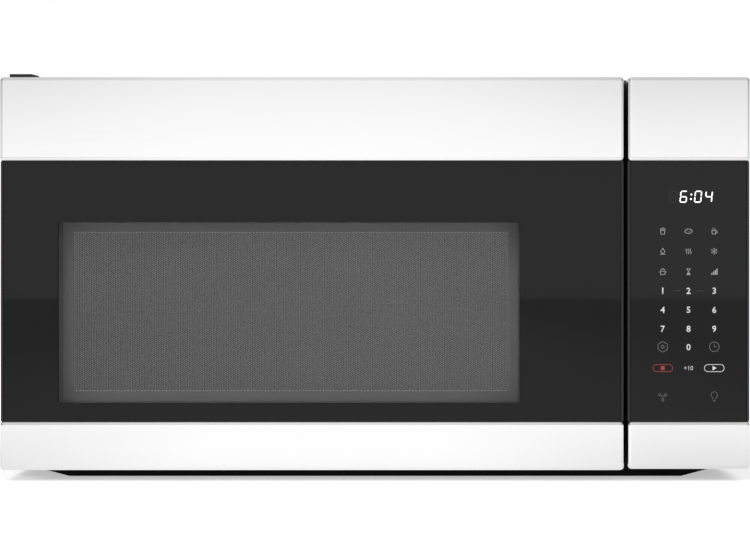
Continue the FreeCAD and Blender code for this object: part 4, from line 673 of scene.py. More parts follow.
class Recipe:
    """A Geometry Nodes tree with named sizes, and the plain meshes that it grows into."""

    title = "recipe"
    sizes: dict[str, float | int] = {}

    def __init__(self) -> None:
        """Draws the tree."""
        self.tree = bpy.data.node_groups.new(self.title, "GeometryNodeTree")
        interface = self.tree.interface
        interface.new_socket("Places", in_out="INPUT", socket_type="NodeSocketGeometry")
        for label, value in self.sizes.items():
            kind = "NodeSocketInt" if isinstance(value, int) else "NodeSocketFloat"
            interface.new_socket(label, in_out="INPUT", socket_type=kind).default_value = value
        interface.new_socket("Finish", in_out="INPUT", socket_type="NodeSocketMaterial")
        interface.new_socket("Geometry", in_out="OUTPUT", socket_type="NodeSocketGeometry")
        self.graph = Graph(self.tree)
        self.given = self.graph.add("NodeGroupInput").outputs
        real = self.change("RealizeInstances", self.draw())
        painted = self.change("SetMaterial", real, Material=self.given["Finish"])
        self.graph.add("NodeGroupOutput", {"Geometry": painted})

    def change(self, kind: str, geometry: Any, **inputs: Any) -> bpy.types.NodeSocket:
        """Puts a geometry through one node.

        Args:
            kind: the node's type, without the words that every such type starts with.
            geometry: what goes in.
            inputs: its other inputs.

        Returns:
            The changed geometry's socket.
        """
        node = self.graph.add(f"GeometryNode{kind}", {"Geometry": geometry} | inputs)
        return node.outputs["Geometry"]

    def draw(self) -> bpy.types.NodeSocket:
        """Draws the nodes of one kind of recipe and returns their geometry's socket."""
        raise NotImplementedError

    def grow(self, finish: Finish, places: Sequence[Place] = (), **values: float | int) -> bpy.types.Mesh:
        """Grows a plain mesh.

        Args:
            finish: what covers it.
            places: the points that something is set on, where the recipe needs them.
            values: the sizes that differ from the recipe's own, with an underscore for a space.

        Returns:
            The mesh, with no modifier left on it.
        """
        seed = bpy.data.meshes.new("seed")
        seed.from_pydata(list(places), [], [])
        carrier = bpy.data.objects.new("carrier", seed)
        bpy.context.scene.collection.objects.link(carrier)
        modifier = carrier.modifiers.new("grow", "NODES")
        modifier.node_group = self.tree
        chosen = {name.replace("_", " "): value for name, value in values.items()}
        chosen["Finish"] = finish.material()
        for item in self.tree.interface.items_tree:
            if item.in_out == "INPUT" and item.name in chosen:
                modifier[item.identifier] = chosen[item.name]
        bpy.context.view_layer.update()
        grown = carrier.evaluated_get(bpy.context.evaluated_depsgraph_get())
        mesh = bpy.data.meshes.new_from_object(grown)
        bpy.data.objects.remove(carrier)
        bpy.data.meshes.remove(seed)
        return mesh

    def shape(self, kind: str, inputs: dict[str, Any], **moved: Any) -> bpy.types.NodeSocket:
        """A primitive in its place.

        Args:
            kind: the primitive's node, without the words that every such type starts with.
            inputs: its sizes.
            moved: its Translation and Rotation.

        Returns:
            The mesh's socket.
        """
        mesh = self.graph.add(f"GeometryNodeMesh{kind}", inputs).outputs["Mesh"]
        return self.change("Transform", mesh, **moved)

    def joined(self, *parts: bpy.types.NodeSocket) -> bpy.types.NodeSocket:
        """Several geometries as one."""
        join = self.graph.add("GeometryNodeJoinGeometry")
        for part in parts:
            self.tree.links.new(part, join.inputs["Geometry"])
        return join.outputs["Geometry"]

    def on_points(self, points: Any, instance: Any, **more: Any) -> bpy.types.NodeSocket:
        """Sets an instance on each point."""
        inputs = {"Points": points, "Instance": instance} | more
        return self.graph.add("GeometryNodeInstanceOnPoints", inputs).outputs["Instances"]

    def staggered(self, step_x: Any, step_y: Any, columns: Any, rows: Any) -> bpy.types.NodeSocket:
        """Points in columns, with every other column moved on by half a step.

        Args:
            step_x: from column to column.
            step_y: from point to point in a column.
            columns: how many columns.
            rows: how many points a column has.

        Returns:
            The points' socket, centred on the origin in the XY plane.
        """
        graph = self.graph
        wide = graph.maths("MULTIPLY", step_x, graph.maths("SUBTRACT", columns, 1))
        tall = graph.maths("MULTIPLY", step_y, graph.maths("SUBTRACT", rows, 1))
        sizes = {"Size X": wide, "Size Y": tall, "Vertices X": columns, "Vertices Y": rows}
        grid = graph.add("GeometryNodeMeshGrid", sizes).outputs["Mesh"]
        index = graph.add("GeometryNodeInputIndex").outputs[0]
        column = graph.maths("FLOOR", graph.maths("DIVIDE", index, rows))
        odd = graph.maths("MODULO", column, 2.0)
        half_step = graph.maths("DIVIDE", step_y, 2.0)
        shift = graph.maths("MULTIPLY", graph.maths("SUBTRACT", odd, 0.5), half_step)
        return self.change("SetPosition", grid, Offset=graph.vector(y=shift))


class PerforatedSheet(Recipe):
    """Sheet steel with round holes in a hexagonal lattice, in the XZ plane and facing -Y."""

    title = "perforated_sheet"
    sizes = {"Pitch": 2.04 * MM, "Hole Radius": 0.62 * MM, "Thickness": 0.5 * MM, "Columns": 64, "Rows": 80}
    ring_weld = 0.02 * MM
    rim_weld = 0.01 * MM

    def draw(self) -> bpy.types.NodeSocket:
        """Rings of six faces round each hole, merged and given a thickness."""
        graph, given = self.graph, self.given
        step = graph.maths("MULTIPLY", given["Pitch"], ROOT_3 / 2)
        reach = graph.maths("DIVIDE", given["Pitch"], ROOT_3)
        circle = {"Vertices": 6, "Radius": given["Hole Radius"]}
        rim = graph.add("GeometryNodeMeshCircle", circle, fill_type="NONE").outputs["Mesh"]
        grown = graph.maths("SUBTRACT", graph.maths("DIVIDE", reach, given["Hole Radius"]), 1.0)
        spot = graph.add("GeometryNodeInputPosition").outputs[0]
        outward = graph.add("ShaderNodeVectorMath", {"Scale": grown, "Vector": spot}, operation="SCALE")
        spread = {"Mesh": rim, "Offset": outward.outputs["Vector"], "Offset Scale": 1.0}
        ring = graph.add("GeometryNodeExtrudeMesh", spread, mode="EDGES").outputs["Mesh"]
        places = self.staggered(step, given["Pitch"], given["Columns"], given["Rows"])
        flat = self.change("RealizeInstances", self.on_points(places, ring))
        sheet = self.change("MergeByDistance", flat, Distance=self.ring_weld)
        thick = {"Mesh": sheet, "Offset Scale": given["Thickness"], "Individual": False}
        raised = graph.add("GeometryNodeExtrudeMesh", thick, mode="FACES").outputs["Mesh"]
        under = graph.add("GeometryNodeFlipFaces", {"Mesh": sheet}).outputs["Mesh"]
        closed = self.change("MergeByDistance", self.joined(raised, under), Distance=self.rim_weld)
        return self.change("Transform", closed, Rotation=(math.pi / 2, 0.0, 0.0))


class ExpandedMetal(Recipe):
    """Slit and stretched sheet: thin strands in diamonds, in the XY plane."""

    title = "expanded_metal"
    sizes = {"Diamond Long": 8.0 * MM, "Diamond Short": 4.4 * MM, "Strand": 0.7 * MM, "Metal": 0.5 * MM,
             "Columns": 30, "Rows": 20, "Tilt": 0.35}

    def draw(self) -> bpy.types.NodeSocket:
        """Two strands of each diamond, set on staggered points."""
        graph, given = self.graph, self.given
        half_long = graph.maths("DIVIDE", given["Diamond Long"], 2.0)
        half_short = graph.maths("DIVIDE", given["Diamond Short"], 2.0)
        size = graph.vector(graph.reach(half_long, half_short), given["Strand"], given["Metal"])
        angle = graph.maths("ARCTAN2", half_long, half_short)
        aside, ahead = graph.maths("DIVIDE", half_short, 2.0), graph.maths("DIVIDE", half_long, 2.0)
        strands = []
        for side in (1.0, -1.0):
            turn = graph.vector(given["Tilt"], 0.0, graph.maths("MULTIPLY", angle, side))
            middle = graph.vector(aside, graph.maths("MULTIPLY", ahead, side))
            strands.append(self.shape("Cube", {"Size": size}, Translation=middle, Rotation=turn))
        places = self.staggered(half_short, given["Diamond Long"], given["Columns"], given["Rows"])
        return self.on_points(places, self.joined(*strands))


class CrossScrews(Recipe):
    """Pan-head screws with a cross recess, heads up along Z before they are turned."""

    title = "cross_screws"
    sizes = {"Head Radius": 4.0 * MM, "Head Height": 1.8 * MM, "Recess": 3.4 * MM, "Slot": 0.9 * MM,
             "Turn X": 0.0, "Turn Y": 0.0}
    crown_share = 0.62
    cutter_share = 1.1
    cutter_lift = 0.9

    def draw(self) -> bpy.types.NodeSocket:
        """A crowned head with two crossed slots cut out, set on each place."""
        graph, given = self.graph, self.given
        crown = graph.maths("MULTIPLY", given["Head Radius"], self.crown_share)
        head = self.shape("Cone", {"Vertices": 28, "Radius Top": crown, "Radius Bottom": given["Head Radius"],
                                   "Depth": given["Head Height"]})
        deep = graph.maths("MULTIPLY", given["Head Height"], self.cutter_share)
        lift = graph.vector(z=graph.maths("MULTIPLY", given["Head Height"], self.cutter_lift))
        slots = [
            self.shape("Cube", {"Size": graph.vector(wide, long, deep)}, Translation=lift)
            for wide, long in ((given["Recess"], given["Slot"]), (given["Slot"], given["Recess"]))
        ]
        cutting = graph.add("GeometryNodeMeshBoolean", {"Mesh 1": head}, operation="DIFFERENCE")
        for slot in slots:
            self.tree.links.new(slot, cutting.inputs["Mesh 2"])
        turn = graph.vector(given["Turn X"], given["Turn Y"])
        return self.on_points(given["Places"], cutting.outputs["Mesh"], Rotation=turn)


class PiercedField(Recipe):
    """A round field of small holes, drawn as thin dark discs in the XY plane, whose dark is painted shade."""

    title = "pierced_field"
    sizes = {"Field Radius": 20.0 * MM, "Pitch": 4.2 * MM, "Hole Radius": 1.3 * MM, "Thickness": 0.1 * MM,
             "Columns": 23, "Rows": 20}

    def draw(self) -> bpy.types.NodeSocket:
        """A disc on each staggered point that lies inside the field."""
        graph, given = self.graph, self.given
        step = graph.maths("MULTIPLY", given["Pitch"], ROOT_3 / 2)
        places = self.staggered(step, given["Pitch"], given["Columns"], given["Rows"])
        here = graph.add("GeometryNodeInputPosition").outputs[0]
        away = graph.add("ShaderNodeVectorMath", {"Vector": here}, operation="LENGTH").outputs["Value"]
        beyond = graph.maths("GREATER_THAN", away, given["Field Radius"])
        inside = self.change("DeleteGeometry", places, Selection=beyond)
        sizes = {"Vertices": 12, "Radius": given["Hole Radius"], "Depth": given["Thickness"]}
        return self.on_points(inside, self.shape("Cylinder", sizes))


class RadialRibs(Recipe):
    """Low rounded ribs that point at the middle, in a ring."""

    title = "radial_ribs"
    sizes = {"Ring Radius": 130.0 * MM, "Rib Length": 26.0 * MM, "Rib Width": 1.6 * MM,
             "Rib Height": 0.8 * MM, "Ribs": 60}

    def draw(self) -> bpy.types.NodeSocket:
        """One rib on each point of a circle, turned to the middle."""
        graph, given = self.graph, self.given
        circle = {"Vertices": given["Ribs"], "Radius": given["Ring Radius"]}
        ring = graph.add("GeometryNodeMeshCircle", circle).outputs["Mesh"]
        rib = self.shape("UVSphere", {"Segments": 10, "Rings": 6, "Radius": 0.5})
        axes = graph.axes(graph.add("GeometryNodeInputPosition").outputs[0])
        turn = graph.vector(z=graph.maths("ARCTAN2", axes["Y"], axes["X"]))
        size = graph.vector(given["Rib Length"], given["Rib Width"], given["Rib Height"])
        return self.on_points(ring, rib, Rotation=turn, Scale=size)


# ---------------------------------------------------------------- studio


@dataclass
class Studio:
    """Camera, lamps, surroundings and floor.

    Each Ramp says from where to where something changes, and from what to what. The sky's and the floor's
    shape how bright steel and glass mirror them, and are set for the view from the front.
    """

    eye: Place = (0.0, -1.697, 0.2089)
    lens: float = 71.26
    fill: float = 0.62
    key_place: Place = (-1.2, -2.0, 3.0)
    key_power: float = 42.0
    key_size: float = 2.0
    side_place: Place = (2.2, -1.2, 2.6)
    side_power: float = 18.0
    side_size: float = 1.6
    sky_level: float = 1.05
    sky_middle: float = -0.04
    sky_above: Ramp = (0.09, 0.17, 0.0, 0.3)
    sky_raised: Ramp = (0.05, 0.14, 0.0, 1.0)
    sky_aside: Ramp = (0.06, 0.24, 0.0, 0.17)
    sky_wide: Ramp = (0.3, 0.95, 0.0, 0.3)
    floor_wide: float = 24.0
    floor_drop: float = 0.2 * MM
    floor_glow: float = 0.45
    floor_level: float = 1.03
    floor_middle: float = -0.065
    # These ramps paint a shadow of the oven close to it, and shade off to its sides, into the floor as steel
    # and glass mirror it.
    floor_close: Ramp = (0.0, 0.34, 0.1, 0.0)
    floor_aside: Ramp = (0.11, 0.46, 0.0, 0.2)
    floor_fading: Ramp = (0.25, 0.75, 1.0, 0.0)
    floor_away: Ramp = (0.6, 0.85, 0.0, 1.0)
    floor_far_aside: Ramp = (0.2, 1.1, 0.06, 0.42)

    def build(self) -> None:
        """Sets up the whole studio."""
        bpy.context.scene.view_settings.view_transform = "Standard"
        self.build_camera()
        self.build_world()
        self.build_floor()
        self.build_lamp("key_lamp", self.key_place, self.key_size, self.key_power)
        self.build_lamp("side_lamp", self.side_place, self.side_size, self.side_power)

    def build_camera(self) -> None:
        """Stands the camera square to the front, as high as the glass's middle."""
        camera = bpy.data.cameras.new("camera")
        camera.lens = self.lens
        camera.clip_start = 0.01
        view = bpy.data.objects.new("camera", camera)
        view.location = self.eye
        view.rotation_euler = (math.pi / 2, 0.0, 0.0)
        bpy.context.scene.collection.objects.link(view)
        bpy.context.scene.camera = view

    def build_lamp(self, name: str, place: Place, size: float, power: float) -> None:
        """Hangs a soft lamp that points at the oven and isn't mirrored in its steel.

        Args:
            name: the lamp's name.
            place: where it hangs.
            size: its side.
            power: its power in watts.
        """
        lamp = bpy.data.lights.new(name, "AREA")
        lamp.energy = power
        lamp.size = size
        hung = bpy.data.objects.new(name, lamp)
        hung.location = place
        aim = Vector((0.0, 0.0, self.eye[2])) - Vector(place)
        hung.rotation_euler = aim.to_track_quat("-Z", "Y").to_euler()
        hung.visible_glossy = False
        bpy.context.scene.collection.objects.link(hung)

    def build_world(self) -> None:
        """White surroundings: full white where seen, shaded where mirrored, softer for what they light."""
        world = bpy.data.worlds.new("surroundings")
        bpy.context.scene.world = world
        world.use_nodes = True
        world.cycles.sampling_method = "NONE"
        graph = Graph(world.node_tree)
        path = graph.add("ShaderNodeLightPath").outputs
        axes = graph.axes(graph.add("ShaderNodeTexCoord").outputs["Generated"])
        above = graph.ramp(axes["Z"], *self.sky_above)
        raised = graph.ramp(axes["Z"], *self.sky_raised)
        across = graph.maths("ABSOLUTE", graph.maths("SUBTRACT", axes["X"], self.sky_middle))
        aside = graph.maths("MULTIPLY", graph.ramp(across, *self.sky_aside), raised)
        wide = graph.ramp(graph.maths("ABSOLUTE", axes["X"]), *self.sky_wide)
        shading = graph.maths("ADD", graph.maths("ADD", above, aside), wide)
        bright = graph.maths("SUBTRACT", self.sky_level, shading)
        mirrored = graph.maths("MULTIPLY", path["Is Glossy Ray"], bright)
        seen = graph.maths("MAXIMUM", path["Is Camera Ray"], path["Is Transmission Ray"])
        direct = graph.maths("MAXIMUM", seen, path["Is Glossy Ray"])
        rest = graph.maths("MULTIPLY", graph.maths("SUBTRACT", 1.0, direct), self.fill)
        level = graph.maths("ADD", graph.maths("MAXIMUM", seen, mirrored), rest)
        backdrop = world.node_tree.nodes["Background"].inputs
        backdrop["Color"].default_value = (1.0, 1.0, 1.0, 1.0)
        graph.feed(backdrop["Strength"], level)

    def mirrored_floor(self, graph: Graph, axes: bpy.types.NodeOutputs) -> bpy.types.NodeSocket:
        """How bright steel and glass mirror the floor: darker close to the oven as a painted shadow, and off
        to the sides as painted shade.

        Args:
            graph: the floor material's graph.
            axes: the place on the floor, axis by axis.

        Returns:
            The brightness's socket.
        """
        low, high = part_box("base_pan")
        past = [graph.maths("SUBTRACT", graph.maths("ABSOLUTE", axes[axis]), reach)
                for axis, reach in (("X", high.x), ("Y", -low.y))]
        distance = graph.reach(*past)
        close = graph.ramp(distance, *self.floor_close)
        across = graph.maths("ABSOLUTE", graph.maths("SUBTRACT", axes["X"], self.floor_middle))
        fading = graph.ramp(distance, *self.floor_fading)
        aside = graph.maths("MULTIPLY", graph.ramp(across, *self.floor_aside), fading)
        away = graph.ramp(distance, *self.floor_away)
        wide = graph.maths("MULTIPLY", graph.ramp(across, *self.floor_far_aside), away)
        shading = graph.maths("ADD", graph.maths("ADD", close, aside), wide)
        return graph.maths("SUBTRACT", self.floor_level, shading)

    def build_floor(self) -> None:
        """Lays the pale floor, which keeps the oven's shadow."""
        bm = bmesh.new()
        bmesh.ops.create_grid(bm, x_segments=1, y_segments=1, size=self.floor_wide / 2)
        mesh = bpy.data.meshes.new("floor")
        bm.to_mesh(mesh)
        bm.free()
        material = bpy.data.materials.new("pale floor")
        material.use_nodes = True
        graph = Graph(material.node_tree)
        surface = material.node_tree.nodes["Principled BSDF"].inputs
        surface["Roughness"].default_value = 0.9
        surface["Specular IOR Level"].default_value = 0.0
        place = graph.place()
        axes = graph.axes(place)
        path = graph.add("ShaderNodeLightPath").outputs
        plain = graph.blend(graph.noise(place, 3.0), (0.86, 0.86, 0.86), (0.9, 0.9, 0.9))
        # for glossy rays the colour is black, so only the emission shows, with its painted shadow and shade
        graph.feed(surface["Base Color"], graph.blend(path["Is Glossy Ray"], plain, (0.0, 0.0, 0.0)))
        surface["Emission Color"].default_value = (1.0, 1.0, 1.0, 1.0)
        seen = graph.maths("MAXIMUM", path["Is Camera Ray"], path["Is Transmission Ray"])
        mirrored = graph.maths("MULTIPLY", path["Is Glossy Ray"], self.mirrored_floor(graph, axes))
        level = graph.maths("ADD", graph.maths("MULTIPLY", seen, self.floor_glow), mirrored)
        graph.feed(surface["Emission Strength"], level)
        mesh.materials.append(material)
        floor = bpy.data.objects.new("floor", mesh)
        mesh.transform(Matrix.Translation((0.0, 0.0, -self.floor_drop)))
        bpy.context.scene.collection.objects.link(floor)


# ---------------------------------------------------------------- the door's window


@dataclass
class DoorWindow:
    """The see-through field of the door: lining, perforated sheet, plain border and the film behind."""

    pitch: float = 2.04 * MM
    hole_radius: float = 0.62 * MM
    sheet: float = 0.45 * MM
    pane_lap: float = 2.7 * MM
    border_left: float = 11.2 * MM
    border_right: float = 10.0 * MM
    border_low: float = 10.4 * MM
    border_high: float = 9.6 * MM
    lining_wall: float = 1.5 * MM
    glass_seat: float = 2.5 * MM
    hidden_rim: float = 1.2 * MM
    film: float = 0.15 * MM
    gap: float = 0.05 * MM
    strips: int = 4

    def __post_init__(self) -> None:
        """Reads the opening's corners off the inner pane, which laps over it."""
        low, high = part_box("inner_window")
        lap = Vector((self.pane_lap, 0.0, self.pane_lap))
        self.low, self.high = low + lap, high - lap

    def glass(self) -> WindowGlass:
        """The door glass's finish, with its clear field over the opening."""
        return WindowGlass("painted door glass", (0.008, 0.008, 0.0082), 0.03, 0.04, relief=0.0,
                           rough_spread=0.012, left=self.low.x, right=self.high.x, low=self.low.z,
                           high=self.high.z)

    def build(self) -> None:
        """Builds the sheet in strips, then its border, the film and the lining."""
        low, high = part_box("door_screen")
        area_low = self.low + Vector((self.border_left, 0.0, self.border_low))
        area_high = self.high - Vector((self.border_right, 0.0, self.border_high))
        self.build_strips(low.y, area_low, area_high)
        self.build_border(low, high, area_low, area_high)
        self.build_film(low, high)
        self.build_lining(low.y)

    def build_lining(self, back: float) -> None:
        """Builds the smooth sleeve from the glass's seat to the screen.

        Args:
            back: where the screen's front lies along Y.
        """
        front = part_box("door_glass")[1].y + self.glass_seat + self.gap
        lines = []
        for out in (self.lining_wall, 0.0):
            left, right, low, high = self.low.x - out, self.high.x + out, self.low.z - out, self.high.z + out
            lines.append([(left, low), (right, low), (right, high), (left, high)])
        bm = bmesh.new()
        add_frame(bm, *lines, front, back - self.gap)
        place_piece(mesh_of(bm, Finishes.lining), "window_lining", "door")

    def build_strips(self, front: float, area_low: Vector, area_high: Vector) -> None:
        """Builds the perforated sheet in strips.

        Args:
            front: where the screen's front lies along Y.
            area_low: the perforated area's lower left corner.
            area_high: its upper right corner.
        """
        recipe = PerforatedSheet()
        step = self.pitch * ROOT_3 / 2
        columns = round((area_high.x - area_low.x) / step)
        rows = round((area_high.z - area_low.z) / self.pitch)
        each = 2 * math.ceil(columns / self.strips / 2)
        middle_z = (area_low.z + area_high.z) / 2
        start = (area_low.x + area_high.x) / 2 - columns * step / 2
        for index in range(self.strips):
            count = min(each, columns - index * each)
            middle_x = start + (index * each + count / 2) * step
            mesh = recipe.grow(Finishes.mesh_paint, Pitch=self.pitch, Hole_Radius=self.hole_radius,
                               Thickness=self.sheet, Columns=count, Rows=rows)
            mesh.transform(Matrix.Translation((middle_x, front + self.sheet + self.gap, middle_z)))
            place_piece(mesh, f"perforated_sheet_{index + 1}", "door", ["door_screen"])

    def build_border(self, low: Vector, high: Vector, area_low: Vector, area_high: Vector) -> None:
        """Builds the plain border round the perforated area, its grey partly its own paint and partly painted
        light against the recess's shade.

        Args:
            low: the screen's lower corner.
            high: its upper corner.
            area_low: the perforated area's lower left corner.
            area_high: its upper right corner.
        """
        bm = bmesh.new()
        outer = [(low.x, low.z), (high.x, low.z), (high.x, high.z), (low.x, high.z)]
        inner = [(area_low.x, area_low.z), (area_high.x, area_low.z), (area_high.x, area_high.z),
                 (area_low.x, area_high.z)]
        add_frame(bm, outer, inner, low.y, high.y)
        mesh = mesh_of(bm, Finishes.screen)
        place_piece(mesh, "screen_border", "door", ["door_screen"])

    def build_film(self, low: Vector, high: Vector) -> None:
        """Builds the pale film behind the sheet, clear on every face but the front one, which shines as
        painted light.

        Args:
            low: the screen's lower corner.
            high: its upper corner.
        """
        bm = bmesh.new()
        inset = self.hidden_rim
        add_block(bm, (low.x + inset, high.y + self.gap, low.z + inset),
                  (high.x - inset, high.y + self.gap + self.film, high.z - inset))
        mesh = mesh_of(bm, Finishes.window_film)
        mesh.materials.append(Finishes.film_back.material())
        for face in mesh.polygons:
            is_front = face.normal.y < -0.5
            face.material_index = 0 if is_front else 1
        place_piece(mesh, "window_film", "door")


def add_block(bm: bmesh.types.BMesh, low: Sequence[float], high: Sequence[float]) -> None:
    """Adds a block between two corners.

    Args:
        bm: where it goes.
        low: its lower corner.
        high: its upper corner.
    """
    size = [b - a for a, b in zip(low, high)]
    middle = [(a + b) / 2 for a, b in zip(low, high)]
    place = Matrix.Translation(middle) @ Matrix.Diagonal((*size, 1.0))
    bmesh.ops.create_cube(bm, size=1.0, matrix=place)


def add_frame(bm: bmesh.types.BMesh, outer: Sequence[Point], inner: Sequence[Point], front: float,
              back: float) -> None:
    """Adds a flat frame between two outlines with as many corners, in the XZ plane.

    Args:
        bm: where it goes.
        outer: the outline outside.
        inner: the outline of the opening.
        front: where it starts along Y.
        back: where it ends along Y.
    """
    rings = [
        [bm.verts.new((x, y, z)) for x, z in line]
        for line, y in ((outer, front), (inner, front), (inner, back), (outer, back))
    ]
    count = len(outer)
    for here, there in zip(rings, rings[1:] + rings[:1]):
        for i in range(count):
            j = (i + 1) % count
            bm.faces.new((here[i], here[j], there[j], there[i]))


# ---------------------------------------------------------------- the control panel's print


def arc(x: float, z: float, radius: float, start: float, end: float, steps: int = 16) -> list[Point]:
    """Points along a round arc.

    Args:
        x: its middle.
        z: its middle.
        radius: its radius.
        start: the first angle in degrees, from +X towards +Z.
        end: the last angle in degrees.
        steps: how many stretches.

    Returns:
        The points, both ends among them.
    """
    angles = [math.radians(start + (end - start) * i / steps) for i in range(steps + 1)]
    return [(x + radius * math.cos(a), z + radius * math.sin(a)) for a in angles]


def ring(x: float, z: float, radius: float, steps: int = 28) -> list[Point]:
    """Points round a circle, for a closed stroke."""
    return arc(x, z, radius, 0.0, 360.0, steps)[:-1]


class Ink:
    """Thin marks on the glass, in millimetres from a centre that moves from key to key."""

    def __init__(self, thickness: float = 0.05 * MM) -> None:
        """Starts with no marks."""
        self.bm = bmesh.new()
        self.thickness = thickness
        self.centre = (0.0, 0.0)

    def point(self, place: Point) -> bmesh.types.BMVert:
        """A vertex at a place given from the centre, in millimetres."""
        return self.bm.verts.new((self.centre[0] + place[0] * MM, 0.0, self.centre[1] + place[1] * MM))

    def fill(self, points: Sequence[Point]) -> None:
        """Fills an outline."""
        self.bm.faces.new([self.point(p) for p in points])

    def stroke(self, points: Sequence[Point], width: float = 0.45, closed: bool = False) -> None:
        """Draws a line of even width.

        Args:
            points: its corners.
            width: how wide it is.
            closed: whether it ends where it starts.
        """
        count = len(points)
        left, right = [], []
        for i, (x, z) in enumerate(points):
            before = points[i - 1] if i or closed else points[i]
            after = points[(i + 1) % count] if i + 1 < count or closed else points[i]
            into = Vector((x - before[0], z - before[1])).normalized() if before != (x, z) else None
            out = Vector((after[0] - x, after[1] - z)).normalized() if after != (x, z) else None
            along = ((into or out) + (out or into)).normalized()
            reach = width / 2 / max(along.dot(into or out), 0.35)
            left.append((x - along.y * reach, z + along.x * reach))
            right.append((x + along.y * reach, z - along.x * reach))
        edges = [(self.point(a), self.point(b)) for a, b in zip(left, right)]
        for here, there in zip(edges, edges[1:] + edges[:1] if closed else edges[1:]):
            self.bm.faces.new((here[0], here[1], there[1], there[0]))

    def text(self, words: str, height: float, weight: float = 0.02) -> None:
        """Prints plain numbers, centred.

        Args:
            words: the numbers.
            height: how tall they are, in millimetres.
            weight: how much their strokes are thickened, as a share of the letter size.
        """
        curve = bpy.data.curves.new("digits", "FONT")
        curve.body = words
        curve.offset = weight
        curve.resolution_u = 3
        holder = bpy.data.objects.new("digits", curve)
        bpy.context.scene.collection.objects.link(holder)
        bpy.context.view_layer.update()
        shown = holder.evaluated_get(bpy.context.evaluated_depsgraph_get())
        mesh = bpy.data.meshes.new_from_object(shown)
        bpy.data.objects.remove(holder)
        corners = [v.co for v in mesh.vertices]
        low = Vector((min(c.x for c in corners), min(c.y for c in corners), 0.0))
        high = Vector((max(c.x for c in corners), max(c.y for c in corners), 0.0))
        scale = height * MM / (high.y - low.y)
        mesh.transform(
            Matrix.Translation((self.centre[0], 0.0, self.centre[1])) @ Matrix.Rotation(math.pi / 2, 4, "X")
            @ Matrix.Scale(scale, 4) @ Matrix.Translation(-(low + high) / 2)
        )
        self.bm.from_mesh(mesh)
        bpy.data.meshes.remove(mesh)

    def mesh(self, front: float, finish: Finish) -> bpy.types.Mesh:
        """The marks as thin closed solids.

        Args:
            front: where the glass's front lies along Y.
            finish: the ink.

        Returns:
            The mesh in its place.
        """
        bmesh.ops.remove_doubles(self.bm, verts=self.bm.verts, dist=1e-7)
        made = bmesh.ops.extrude_face_region(self.bm, geom=self.bm.faces[:], use_keep_orig=True)
        moved = [item for item in made["geom"] if isinstance(item, bmesh.types.BMVert)]
        bmesh.ops.translate(self.bm, verts=moved, vec=(0.0, -self.thickness, 0.0))
        bmesh.ops.translate(self.bm, verts=self.bm.verts, vec=(0.0, front, 0.0))
        return mesh_of(self.bm, finish)


